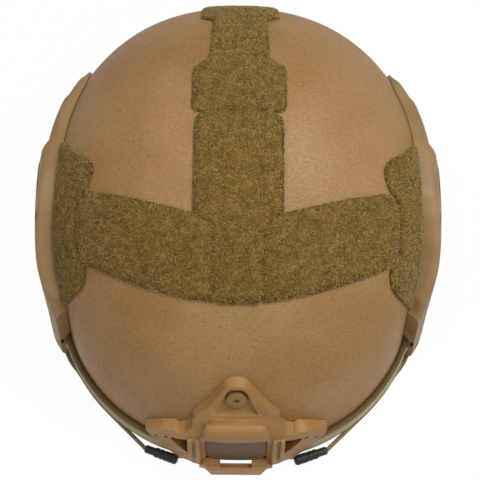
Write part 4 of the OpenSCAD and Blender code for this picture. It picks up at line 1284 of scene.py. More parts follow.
    def side(self, hand: Hand, rail: "SideRail", looks: Finishes) -> None:
        """Makes one side patch between the rail and the brow band.

        Args:
            hand: The side.
            rail: The accessory rails.
            looks: The finishes.
        """
        rows = np.array(self.side_line)
        last, n, k = len(rows) - 1, self.side_rows, self.side_columns
        places = np.linspace(0, last, n)
        line = np.stack([np.interp(places, np.arange(last + 1), column) for column in rows.T], 1)
        relax(line)
        self.close_seam(line)
        f = np.linspace(0, 1, k)[None, :]
        a = mix(line[:, :1], line[:, 1:2], f)
        z = mix(rail.high(line[:, :1]) + self.rail_gap, line[:, 2:3], f)
        self.patch(f"loop_side_{hand.word}", lambda d: FORM.point(hand.value * a, z, d), n, k, looks)

    def patch(self, node: str, place: Callable[[Array], Array], n: int, k: int, looks: Finishes) -> None:
        """Makes one patch from a function that places its grid at an offset.

        Args:
            node: The CAD node that it replaces.
            place: Gives the grid's points at an offset or a grid of offsets.
            n, k: The grid's size in points.
            looks: The finishes.
        """
        j, i = np.meshgrid(np.arange(n), np.arange(k), indexing="ij")
        inset = np.minimum(np.minimum(np.minimum(j, n - 1 - j), np.minimum(i, k - 1 - i)), 2)
        drop = np.array(self.edge_drop)[inset]
        lower = place(FORM.seat_gap + self.lift + 0 * drop)
        upper = place(FORM.seat_gap + self.backing * (1 - drop))
        piece = MeshBuilder.sheet(node + "_pile", lower, upper)
        mark(piece, "pile", "FACE", np.arange(len(piece.data.polygons)) >= (n - 1) * (k - 1))
        # The backing's tone is painted shade: darker towards its rim and on its sides.
        ground = np.array(self.edge_tone)[inset].ravel()
        mark(piece, "tone", "POINT", np.concatenate([np.full(n * k, self.side_tone), ground]))
        tree = GeometryTree(node + "_loops", Density=self.density / MM**2, Width=self.loop_width * MM,
                            Height=self.loop_height * MM, Thread=self.thread * MM, Seed=sum(map(ord, node)))
        self.grow(tree)
        tree.apply(piece, looks.loop)
        install(piece, looks.loop, "loop_fabric", "helmet", node)

    def grow(self, tree: GeometryTree) -> None:
        """Covers the marked faces with small upright loops of thread.

        Args:
            tree: The node tree that lays them.
        """
        given = tree.given
        start, sweep = (math.radians(angle) for angle in self.loop_arc)
        lean, (least, most) = self.loop_lean, self.loop_scale
        flag = tree.add("GeometryNodeInputNamedAttribute", {"data_type": "FLOAT"}, {"Name": "pile"})
        on = tree.add("FunctionNodeCompare", {"data_type": "FLOAT", "operation": "GREATER_THAN"},
                      {0: flag.outputs[0], 1: 0.5})
        spread = tree.add("GeometryNodeDistributePointsOnFaces", {"distribute_method": "RANDOM"},
                          {"Mesh": given["Geometry"], "Selection": on.outputs[0],
                           "Density": given["Density"], "Seed": given["Seed"]})
        arc = tree.add("GeometryNodeCurveArc", {"mode": "RADIUS"},
                       {"Resolution": 4, "Radius": 1.0, "Start Angle": start, "Sweep Angle": sweep})
        upright = tree.add("GeometryNodeTransform",
                           sockets={"Geometry": arc.outputs[0], "Rotation": (math.radians(90), 0, 0)})
        half = tree.add("ShaderNodeMath", {"operation": "MULTIPLY"}, {0: given["Width"], 1: 0.5})
        size = tree.add("ShaderNodeCombineXYZ", sockets={0: half.outputs[0], 1: half.outputs[0],
                                                         2: given["Height"]})
        sized = tree.add("GeometryNodeTransform",
                         sockets={"Geometry": upright.outputs[0], "Scale": size.outputs[0]})
        ring = tree.add("GeometryNodeCurvePrimitiveCircle", {"mode": "RADIUS"},
                        {"Resolution": 3, "Radius": given["Thread"]})
        loop = tree.add("GeometryNodeCurveToMesh", sockets={0: sized.outputs[0], 1: ring.outputs[0]})
        turn = tree.add("FunctionNodeRandomValue", {"data_type": "FLOAT_VECTOR"},
                        {0: (-lean, -lean, -math.pi), 1: (lean, lean, math.pi), "Seed": 3})
        euler = tree.add("FunctionNodeEulerToRotation", sockets={0: turn.outputs[0]})
        facing = tree.add("FunctionNodeRotateRotation", {"rotation_space": "LOCAL"},
                          {0: spread.outputs["Rotation"], 1: euler.outputs[0]})
        grown = tree.add("FunctionNodeRandomValue", {"data_type": "FLOAT"}, {2: least, 3: most, "Seed": 5})
        planted = tree.add("GeometryNodeInstanceOnPoints",
                           sockets={"Points": spread.outputs["Points"], "Instance": loop.outputs[0],
                                    "Rotation": facing.outputs[0], "Scale": grown.outputs[1]})
        shade = tree.add("FunctionNodeRandomValue", {"data_type": "FLOAT"}, {2: 0.0, 3: 1.0, "Seed": 9})
        toned = tree.add("GeometryNodeStoreNamedAttribute", {"data_type": "FLOAT", "domain": "INSTANCE"},
                         {"Geometry": planted.outputs[0], "Name": "tone", "Value": shade.outputs[1]})
        joined = tree.add("GeometryNodeJoinGeometry")
        for part in (given["Geometry"], toned.outputs[0]):
            tree.feed(joined.inputs[0], part)
        tree.close(joined.outputs[0])

    def build(self, rail: "SideRail", looks: Finishes) -> None:
        """Makes all six patches.

        Args:
            rail: The accessory rails.
            looks: The finishes.
        """
        self.strip("loop_rear_strip", (self.rear_y, self.seam_y), self.rear_half, looks)
        front = (self.seam_y - FORM.seat_gap, self.tongue_end_y)
        self.strip("loop_centre_strip", front, self.centre_half_at, looks)
        for hand in Hand:
            self.band(hand, looks)
            self.side(hand, rail, looks)


@dataclass
class SideRail:
    """The accessory rails with their screws and nuts."""

    front: float = 56.0
    toe_z: float = 8.0
    clear: float = 18.0
    top_z: float = 122.0
    rear: float = 128.0
    line: Profile = ((54, 50), (57, 47), (60, 43.5), (64, 37), (68, 28), (72, 19), (76, 11.5),
                     (81, 5.5), (88, 1.5), (96, 0))
    outline: Profile = ((56, 0.8), (59, 0.95), (63, 1.08), (69, 1.14), (78, 1), (86, 0.96), (96, 1),
                        (99, 0.72), (114, 0.66), (115.5, 0.54), (123, 0.42), (128, 0.26))
    depth: float = 9.8
    toe_in: float = 4.4
    toe_run: float = 3.5
    front_share: float = 0.86
    rear_share: float = 0.6
    end_runs: tuple[float, float] = (3.0, 8.0)
    trim_clear: float = 1.2
    groove_ends: tuple[float, float] = (84.0, 95.5)
    groove_depths: tuple[float, float] = (0.1, 2.8)
    screw_hole: float = 2.3
    screw_head: float = 4.5
    screw_seat_d: float = 3.4
    eyelet_a: float = 2.6
    eyelet_z: float = 19.0
    eyelet_d: float = 6.76
    eyelet_hole: float = 2.1
    cord_hole: float = 1.95
    slot_aim_z: float = 46.0
    slot_z: float = 27.7
    slot_d: float = 6.3
    slot_size: tuple[float, float] = (1.7, 6.0)
    slot_run: float = 9.0
    slot_shade: float = 0.92
    nose: float = 0.5
    nose_turn: float = 0.5
    step: float = 0.6
    crease: float = 30.0
    bevel: float = 0.45

    def low(self, a: Array) -> Array:
        """Height of the rail's lower edge at an azimuth.

        Args:
            a: Azimuth in degrees.

        Returns:
            The height in millimetres.
        """
        up = smooth((a + FORM.lead_per_mm * self.clear - FORM.ear_start) / (FORM.ear_full - FORM.ear_start))
        full = FORM.trim_wall + self.clear + (FORM.ear_cut_height - FORM.trim_wall) * up
        return mix(self.toe_z, full, smooth((a - self.front - self.toe_run) / self.toe_run))

    def high(self, a: Array) -> Array:
        """Height of the rail's upper edge at an azimuth.

        Args:
            a: Azimuth in degrees.

        Returns:
            The height in millimetres.
        """
        full = self.top_z - np.interp(a, *zip(*self.line))
        ahead, behind = self.end_runs
        taper = (mix(self.front_share, 1, smooth((a - self.front) / ahead))
                 * mix(1, self.rear_share, smooth((a - self.rear + behind) / behind)))
        return mix(self.low(a), full, taper) - self.nose_drop(a)

    def nose_drop(self, a: Array) -> Array:
        """How far the rounded front end falls back at an azimuth."""
        run = clamp01(1 - (a - self.front) / self.nose_turn / self.nose)
        return self.nose * (1 - np.sqrt(1 - run**2)) * 0.8

    def out(self, a: Array) -> Array:
        """How far the rail stands out from the paint at an azimuth."""
        shares = [np.interp(a + lean, *zip(*self.outline)) for lean in (-0.5, -0.25, 0, 0.25, 0.5)]
        return self.depth * np.mean(shares, 0) - self.nose_drop(a)

    def inner(self, a: Array) -> Array:
        """Offset of the rail's back at an azimuth."""
        return mix(self.toe_in, FORM.seat_gap, smooth((a - self.front - 7.5) / 2))

    def groove(self, a: Array) -> Array:
        """Depth of the accessory groove at an azimuth."""
        (start, end), (least, most) = self.groove_ends, self.groove_depths
        return least + most * smooth((a - start) / 2) * smooth((end - a) / 2)

    def ring(self, a: float) -> Array:
        """Corners of the rail's section as (height, offset).

        Args:
            a: Azimuth in degrees.

        Returns:
            The corners.
        """
        low, high, out = float(self.low(a)), float(self.high(a)), float(self.out(a))
        back, g = float(self.inner(a)), float(self.groove(a))
        h, mid = high - low, (high + low) / 2
        step = max(mix(low, high, 0.1), float(FORM.edge(a, FORM.trim_height)) + self.trim_clear)
        mouth = min(7.5, h * 0.24)
        corners = [(low, back), (step, back)]
        corners += [(mix(step, high, f), FORM.seat_gap) for f in (0.15, 0.42, 0.7, 1)]
        for t in np.radians(np.linspace(0, 90, 7)):
            corners.append((high - h * 0.13 * (1 - math.cos(t)), out * (0.56 + 0.44 * math.sin(t))))
        corners += [(mid + mouth, out), (mid + mouth + g * 0.4, out - g), (mid - mouth - g * 0.4, out - g),
                    (mid - mouth, out)]
        for t in np.radians(np.linspace(0, 90, 6)):
            corners.append((low + h * 0.1 * (1 - math.sin(t)), out * (0.62 + 0.38 * math.cos(t))))
        return np.array(corners)

    @staticmethod
    def peg(radius: float, place: Array, axis: Array, start: float, end: float,
            sides: int = 40) -> Piece:
        """A round cutter along an axis through a place.

        Args:
            radius: Its radius.
            place: The place.
            axis: Unit direction of the axis.
            start, end: Where it starts and ends along the axis.
            sides: How many sides it has.

        Returns:
            The cutter.
        """
        u = unit(np.cross(axis, [0.31, 0.2, 0.93]))
        v = np.cross(axis, u)
        t = np.radians(np.arange(sides) * 360 / sides)
        circle = (np.outer(np.cos(t), u) + np.outer(np.sin(t), v)) * radius
        return MeshBuilder.loft("cutter", np.stack([place + axis * s + circle for s in (start, end)]))

    def slot_axes(self, hand: Hand) -> tuple[Array, Array, Array, Array]:
        """Middle of the slot in the rail's front end, and its run, outward and upward directions.

        Args:
            hand: The side.

        Returns:
            The middle and the three directions.
        """
        s, z = hand.value, self.slot_aim_z
        out = FORM.normal(s * self.front, z)
        run = unit(FORM.point(s * (self.front - 1), z, 6) - FORM.point(s * self.front, z, 6))
        return FORM.point(s * self.front, self.slot_z, self.slot_d), run, out, np.cross(run, out) * s

    def slot(self, hand: Hand) -> Piece:
        """A cutter for the slot that is seen in the rail's front end.

        Args:
            hand: The side.

        Returns:
            The cutter.
        """
        middle, run, out, up = self.slot_axes(hand)
        wide, tall = (size / 2 for size in self.slot_size)
        corners = [(-wide, -tall), (wide, -tall), (wide, tall), (-wide, tall)]
        rings = [[middle + run * r + out * u + up * v for u, v in corners] for r in (-self.slot_run, 4.0)]
        return MeshBuilder.loft("cutter", np.array(rings))

    def shade(self, piece: Piece, hand: Hand) -> None:
        """Marks the slot's inside, where a dark colour is painted in as shade.

        Args:
            piece: The piece.
            hand: The side.
        """
        middle, run, out, up = self.slot_axes(hand)
        wide, tall = (size / 2 + 0.1 for size in self.slot_size)

        def within(face: bpy.types.MeshPolygon) -> bool:
            """Tells whether a face lies in the slot."""
            away = np.array(face.center) / MM - middle
            deep = -self.slot_run - 0.1 < away @ run < -0.4
            return abs(away @ out) < wide and abs(away @ up) < tall and deep

        mark(piece, "hollow", "FACE", [self.slot_shade * within(face) for face in piece.data.polygons])

    def body(self, hand: Hand) -> Piece:
        """Makes one rail: a loft along the shell, cut for its screws, eyelet and slot.

        Args:
            hand: The side.

        Returns:
            The rail.
        """
        s = hand.value
        end = self.front + self.nose * self.nose_turn
        places = np.concatenate([mix(self.front, end, (1 - np.cos(np.radians(np.arange(0, 90, 11))))),
                                 np.arange(end, self.rear, self.step), [self.rear]])
        rings = [FORM.point(s * a, *self.ring(a).T) for a in places]
        piece = MeshBuilder.loft(f"rail_{hand.word}_moulding", np.array(rings), sharp=self.crease)
        cutters = []
        for a, z in (FORM.front_hold, FORM.rear_hold):
            n, spot = FORM.normal(s * a, z), FORM.point(s * a, z, 0)
            cutters += [self.peg(self.screw_hole, spot, n, -8, 24),
                        self.peg(self.screw_head, spot, n, self.screw_seat_d, 24)]
        turn = math.radians(s * (90 - self.front - self.eyelet_a))
        eyelet = FORM.point(s * (self.front + self.eyelet_a), self.eyelet_z, self.eyelet_d)
        aside = np.array([math.sin(turn), -math.cos(turn), 0])
        cutters += [self.peg(self.eyelet_hole, eyelet, aside, 0, 17.6, 24),
                    self.peg(self.cord_hole, eyelet, np.array([0, 0, 1.0]), -20, 0.4, 24), self.slot(hand)]
        for cutter in cutters:
            cut = piece.modifiers.new("cut", "BOOLEAN")
            cut.operation, cut.solver, cut.object = "DIFFERENCE", "EXACT", cutter
        MeshBuilder.freeze(piece)
        for cutter in cutters:
            bpy.data.objects.remove(cutter)
        self.shade(piece, hand)
        piece.data.set_sharp_from_angle(angle=math.radians(self.crease))
        MeshBuilder.soften(piece, self.bevel, self.crease)
        return piece

    def build(self, looks: Finishes) -> None:
        """Makes both rails and dresses their fasteners.

        Args:
            looks: The finishes.
        """
        for hand in Hand:
            install(self.body(hand), looks.rail, "moulded_tan", "helmet", f"rail_{hand.word}")
        for node in ("rail_screws", "rail_nuts"):
            dress(node, looks.steel, "dark_steel", 0.25)


@dataclass
class FrontShroud:
    """The moulded shroud, its screw and nut."""

    edge: float = 0.8
    slot_half: float = 18.9
    slot_high: float = 39.9
    slot_low: float = 10.6
    wall_front: float = -142.2
    cushion_half: float = 19.0
    cushion_rise: float = 7.0
    cushion_z: float = 52.6
    cushion_depth: float = 9.6
    cushion_swell: float = 3.2
    cushion_flat: float = 0.62
    cushion_round: float = 0.8
    ribs: tuple[float, ...] = (22.9, 27.6)
    rib_low: float = 14.0
    rib_high: float = 41.0
    rib_depth: float = 8.9
    rib_half: float = 1.7
    rib_swell: float = 1.7
    slot_shade: float = 0.9
    crease: float = 28.0
    first_radius: float = 140.0
    step_radius: float = 120.0
    rib_radius: float = 150.0

    def shade(self, piece: Piece) -> None:
        """Marks the slot's back wall, where a dark colour is painted in as shade.

        Args:
            piece: The piece.
        """
        def deep(face: bpy.types.MeshPolygon) -> bool:
            """Tells whether a face is the slot's back wall."""
            x, y, z = (v / MM for v in face.center)
            return (abs(x) < self.slot_half and self.slot_low < z < self.slot_high and self.wall_front < y
                    and abs(face.normal.y) > 0.5)

        mark(piece, "hollow", "FACE", [self.slot_shade * deep(face) for face in piece.data.polygons])

    def azimuth(self, x: float, z: float, depth: float) -> float:
        """Azimuth of the place that stands off the paint at a sideways distance in millimetres.

        Args:
            x: The sideways distance.
            z: Height in millimetres.
            depth: How far it stands off the paint.

        Returns:
            The azimuth in degrees.
        """
        a = math.degrees(math.asin(x / self.first_radius))
        for _ in range(8):
            a += math.degrees((x - float(FORM.point(a, z, depth)[0])) / self.step_radius)
        return a

    @staticmethod
    def stations(count: int, power: int) -> list[tuple[float, float]]:
        """Places along a bar from -1 to 1, each with its fullness; a higher power gives squarer ends."""
        places = np.sin(np.radians(np.linspace(-90, 90, count)))
        return [(f, max((1 - abs(f) ** power) ** (1 / power), 0.02)) for f in places]

    def cushion(self) -> Piece:
        """The rounded block over the slot.

        Returns:
            The block.
        """
        rings = []
        for f, full in self.stations(33, 4):
            a = self.azimuth(f * self.cushion_half, self.cushion_z, self.cushion_depth)
            ring = []
            for t in np.radians(np.arange(0, 360, 12)):
                c, s = math.cos(t), math.sin(t)
                up = math.copysign(abs(c) ** self.cushion_flat, c) * self.cushion_rise * full
                out = math.copysign(abs(s) ** self.cushion_round, s) * self.cushion_swell * full
                ring.append(FORM.point(a, self.cushion_z + up, self.cushion_depth + out))
            rings.append(ring)
        return MeshBuilder.loft("cushion", np.array(rings), sharp=60)

    def rib(self, x: float) -> Piece:
        """One upright rib beside the slot.

        Args:
            x: Its sideways place in millimetres.

        Returns:
            The rib.
        """
        rings = []
        for f, full in self.stations(25, 8):
            z = mix(self.rib_low, self.rib_high, (f + 1) / 2)
            a = self.azimuth(x, z, self.rib_depth)
            ring = []
            for t in np.radians(np.arange(0, 360, 20)):
                aside = math.degrees(self.rib_half * full * math.cos(t) / self.rib_radius)
                ring.append(FORM.point(a + aside, z, self.rib_depth + self.rib_swell * full * math.sin(t)))
            rings.append(ring)
        return MeshBuilder.loft("rib", np.array(rings), sharp=60)

    def build(self, looks: Finishes) -> None:
        """Dresses the shroud.

        Args:
            looks: The finishes.
        """
        base = MeshBuilder.dressed_copy("shroud_frame", self.edge, self.crease)
        self.shade(base)
        ribs = [self.rib(side * x) for x in self.ribs for side in (-1, 1)]
        piece = MeshBuilder.joined("shroud_moulding", [base, self.cushion(), *ribs])
        install(piece, looks.shroud, "moulded_tan", "helmet", "shroud_frame")
        dress("shroud_screw", looks.screw, "painted_screw", 0.3)
        dress("shroud_nut", looks.steel, "dark_steel", 0.25)


@dataclass
class Bungees:
    """The two elastic cords and their hooks."""

    diameter: float = 2.6
    low_z: float = 1.4
    off: float = 2.66
    leave: float = 36.0
    behind: float = 2.2
    hook_start: tuple[float, float, float] = (-56.8, -136.0, 2.8)
    steps: int = 120
    sides: int = 12

    def route(self, rail: SideRail, hand: Hand) -> Array:
        """Centreline from the rail's eyelet to the hook.

        Args:
            rail: The accessory rails.
            hand: The side.

        Returns:
            The points in millimetres.
        """
        a, z, d = rail.front + rail.eyelet_a, rail.eyelet_z, rail.eyelet_d
        stations = [FORM.point(-a, z - 4, d), FORM.point(-a, z - 8, d - 0.6),
                    FORM.point(-a + 0.4, 7, d - 1.65)]
        for f in np.arange(9) / 8:
            fall = smooth(f * 3)
            stations.append(FORM.point(-mix(rail.front - 1, self.leave, f), mix(4, self.low_z, fall),
                                       self.off + self.behind * (1 - fall)))
        last = FORM.point(-self.leave, self.low_z, self.off)
        hook = np.array(self.hook_start) + [0, FORM.shift, 0]
        stations += [mix(last, hook, f) for f in (0.2, 0.4, 0.6, 0.8, 1.0)]
        return spline(stations, self.steps) * [-hand.value, 1, 1]

    def build(self, rail: SideRail, looks: Finishes) -> None:
        """Makes both cords and dresses their hooks.

        Args:
            rail: The accessory rails.
            looks: The finishes.
        """
        for hand in Hand:
            hook = f"bungee_hook_{hand.word}"
            grip = dress(hook, looks.black, "black_plastic", 0.25)
            path = self.route(rail, hand)
            cord = Webbing.tube(f"bungee_cord_{hand.word}", path, self.diameter, self.sides)
            install(cord, looks.cord, "bungee_cord", "helmet", f"bungee_{hand.word}")


class Webbing:
    """Flat woven straps and round cords along a path, with UV maps in millimetres."""

    @staticmethod
    def frames(path: Array, across: Array) -> tuple[Array, Array]:
        """Side and normal directions along a path.

        Args:
            path: The centreline in millimetres.
            across: Direction of the width at each point.

        Returns:
            The two directions at each point.
        """
        run = unit(np.gradient(path, axis=0))
        side = unit(across - run * np.sum(across * run, -1, keepdims=True))
        return side, unit(np.cross(run, side))

    @classmethod
    def strap(cls, name: str, path: Array, across: Array, width: float, thick: float) -> Piece:
        """A flat strap with rounded edges.

        Args:
            name: The piece's name.
            path: Its centreline in millimetres.
            across: Direction of its width at each point.
            width, thick: Its section in millimetres.

        Returns:
            The strap.
        """
        side, normal = cls.frames(path, across)
        outline = [(f, 1 - 0.75 * max(0, abs(f) - 0.9) / 0.1) for f in np.linspace(-1, 1, 9)]
        outline += [(f, -h) for f, h in reversed(outline)]
        rings = np.stack([path + side * (u * width / 2) + normal * (v * thick / 2) for u, v in outline], 1)
        piece = MeshBuilder.loft(name, rings, sharp=60)
        cls.map_uv(piece, path, np.array([u * width / 2 for u, _ in outline]))
        return piece

    @classmethod
    def tube(cls, name: str, path: Array, diameter: float, sides: int) -> Piece:
        """A round cord along a path.

        Args:
            name: Its name.
            path: The centreline in millimetres.
            diameter: Its thickness in millimetres.
            sides: How many sides its section has.

        Returns:
            The cord.
        """
        run = unit(np.gradient(path, axis=0))
        lean = np.tile([-0.8, -0.6, 0.0], (len(path), 1))
        u = unit(np.cross(lean, run))
        v = np.cross(run, u)
        turn = np.radians(np.arange(sides) * 360 / sides)
        rings = np.stack([path + (u * np.cos(t) + v * np.sin(t)) * diameter / 2 for t in turn], 1)
        piece = MeshBuilder.loft(name, rings, sharp=60)
        cls.map_uv(piece, path, turn * diameter / 2)
        return piece

    @staticmethod
    def map_uv(piece: Piece, path: Array, around: Array) -> None:
        """Lays a UV map in millimetres: along the path and around the section.

        Args:
            piece: The piece.
            path: The centreline in millimetres.
            around: Place of each corner around the section.
        """
        run = np.concatenate([[0], np.cumsum(np.linalg.norm(np.diff(path, axis=0), axis=1))])
        k = len(around)
        table = np.stack([np.repeat(run, k), np.tile(around, len(path))], 1)
        table = np.vstack([table, [0, 0], [run[-1], 0]])
        layer = piece.data.uv_layers.new(name="weave")
        corners = [loop.vertex_index for loop in piece.data.loops]
        layer.data.foreach_set("uv", table[corners].astype(np.float32).ravel())


class Stitching:
    """Rows of stitches along lines, made by one node tree; share is a stitch's length in pitches."""

    share = 0.68

    @classmethod
    def tree(cls, pitch: float, thread: float) -> GeometryTree:
        """Builds the tree that lays short threads along the given edges.

        Args:
            pitch: Distance from stitch to stitch in millimetres.
            thread: The thread's radius in millimetres.

        Returns:
            The tree.
        """
        tree = GeometryTree("stitch_row", Pitch=pitch * MM, Thread=thread * MM, Long=pitch * cls.share * MM)
        given = tree.given
        line = tree.add("GeometryNodeMeshToCurve", sockets={"Mesh": given["Geometry"]})
        even = tree.add("GeometryNodeResampleCurve", {"mode": "LENGTH"},
                        {"Curve": line.outputs[0], "Length": given["Pitch"]})
        body = tree.add("GeometryNodeMeshCylinder",
                        sockets={"Vertices": 6, "Side Segments": 1, "Radius": given["Thread"],
                                 "Depth": given["Long"]})
        run = tree.add("GeometryNodeInputTangent")
        facing = tree.add("FunctionNodeAlignRotationToVector", {"axis": "Z"}, {"Vector": run.outputs[0]})
        laid = tree.add("GeometryNodeInstanceOnPoints",
                        sockets={"Points": even.outputs[0], "Instance": body.outputs[0],
                                 "Rotation": facing.outputs[0]})
        tree.close(laid.outputs[0])
        return tree

    @classmethod
    def sew(cls, name: str, lines: Sequence[Array], looks: Finishes, pitch: float = 2.8,
            thread: float = 0.34) -> Piece:
        """Sews stitches along lines.

        Args:
            name: Name of the stitches.
            lines: Lines of points in millimetres.
            looks: The finishes.
            pitch: Distance from stitch to stitch in millimetres.
            thread: The thread's radius in millimetres.

        Returns:
            The stitches, as one piece.
        """
        points, edges = [], []
        for line in lines:
            start = len(points)
            points += [list(p) for p in line]
            edges += [(start + i, start + i + 1) for i in range(len(line) - 1)]
        mesh = bpy.data.meshes.new(name)
        mesh.from_pydata((np.array(points) * MM).tolist(), edges, [])
        piece = placed(name, mesh)
        cls.tree(pitch, thread).apply(piece, looks.thread)
        return install(piece, looks.thread, "webbing", "helmet")


@dataclass
class SoftPad:
    """Swells a pad's starting mesh by a short cloth simulation, inside the space of its solid.

    margin is the room that the starting mesh leaves for the swelling, cap the furthest that a point moves,
    and held the distance from the back over which the fabric comes free.
    """

    voxel: float = 4.0
    pressure: float = 4.0
    frames: int = 20
    margin: float = 1.3
    cap: float = 1.5
    held: float = 6.0
    seam_width: float = 2.6
    seam_depth: float = 1.3
    shares: tuple[float, ...] = (0.12, 0.3, 0.5, 0.7, 0.85, 0.95, 1.0)
    squareness: float = 0.36
    spokes: int = 72

    def flat_backed(self, node: str, place: Callable[[Array, Array, bool, float], Array], seam_share: float,
                    looks: Finishes) -> None:
        """Makes a pad with a flat back from a function that places its points.

        Args:
            node: The CAD node that it replaces.
            place: Gives points from places in the pad's square, whether they lie on its face, and
                the margin.
            seam_share: Share of the pad's reach at which its seam runs.
            looks: The finishes.
        """
        line = rounded_square(self.squareness, self.spokes)

        def ring(f: float, face: bool) -> Array:
            """Gives one ring of the pad's points."""
            return place(f * line[:, 0], f * line[:, 1], face, self.margin)

        back = [ring(f, False) for f in self.shares]
        face = [ring(f, True) for f in reversed(self.shares)]
        piece = MeshBuilder.loft(f"{node}_pillow", np.array(back + face), sharp=80)
        self.finish(piece, np.concatenate(back), denser(ring(seam_share, True)), looks, node)

    @staticmethod
    def points_of(mesh: bpy.types.Mesh) -> Array:
        """A mesh's points in metres.

        Args:
            mesh: The mesh.

        Returns:
            The points, one in a row.
        """
        flat = np.empty(len(mesh.vertices) * 3, np.float32)
        mesh.vertices.foreach_get("co", flat)
        return flat.reshape(-1, 3).astype(float)

    @staticmethod
    def distance(points: Array, targets: Array) -> Array:
        """Distance in metres from each point to the nearest target.

        Args:
            points: The points in metres.
            targets: The targets in metres.

        Returns:
            The distances.
        """
        tree = KDTree(len(targets))
        for i, target in enumerate(targets):
            tree.insert(target, i)
        tree.balance()
        return np.array([tree.find(p)[2] for p in points])

    def simulate(self, piece: Piece) -> Array:
        """Runs the cloth and returns its points.

        Args:
            piece: The piece.

        Returns:
            The points in metres.
        """
        cloth = piece.modifiers.new("fabric", "CLOTH")
        cloth.settings.use_pressure = True
        cloth.settings.uniform_pressure_force = self.pressure
        cloth.settings.effector_weights.gravity = 0
        cloth.point_cache.frame_start = 1
        cloth.point_cache.frame_end = self.frames
        for frame_number in range(1, self.frames + 1):
            bpy.context.scene.frame_set(frame_number)
        graph = bpy.context.evaluated_depsgraph_get()
        ended = self.points_of(piece.evaluated_get(graph).to_mesh())
        piece.modifiers.clear()
        bpy.context.scene.frame_set(1)
        return ended

    def finish(self, piece: Piece, back: Array, seam: Array, looks: Finishes, node: str) -> None:
        """Makes a pad of a closed starting mesh.

        Args:
            piece: The starting mesh.
            back: Points in millimetres of the side that rests on something.
            seam: Points in millimetres along its sewn edge.
            looks: The finishes.
            node: The CAD node that it replaces.
        """
        cells = piece.modifiers.new("even_cells", "REMESH")
        cells.mode = "VOXEL"
        cells.voxel_size = self.voxel * MM
        cells.use_smooth_shade = True
        MeshBuilder.freeze(piece)
        start = self.points_of(piece.data)
        free = smooth(self.distance(start, back * MM) / (self.held * MM))[:, None]
        move = self.simulate(piece) - start
        long = np.linalg.norm(move, axis=1, keepdims=True)
        move *= np.minimum(1, self.cap * MM / np.maximum(long, 1e-9)) * free
        piece.data.vertices.foreach_set("co", (start + move).astype(np.float32).ravel())
        for level in range(2):
            fine = piece.modifiers.new("rounder", "SUBSURF")
            fine.levels = fine.render_levels = 1
            MeshBuilder.freeze(piece)
            if level == 0:
                self.sink(piece, seam)
        piece.data.shade_smooth()
        install(piece, looks.pad, "pad_fabric", "helmet", node)

    def sink(self, piece: Piece, seam: Array) -> None:
        """Draws the fabric in along its seam.

        Args:
            piece: The piece.
            seam: Points in millimetres along the seam.
        """
        points = self.points_of(piece.data)
        normals = np.array([v.normal[:] for v in piece.data.vertices])
        near = clamp01(1 - self.distance(points, seam * MM) / (self.seam_width * MM))
        points -= normals * (self.seam_depth * MM * near**1.5)[:, None]
        piece.data.vertices.foreach_set("co", points.astype(np.float32).ravel())


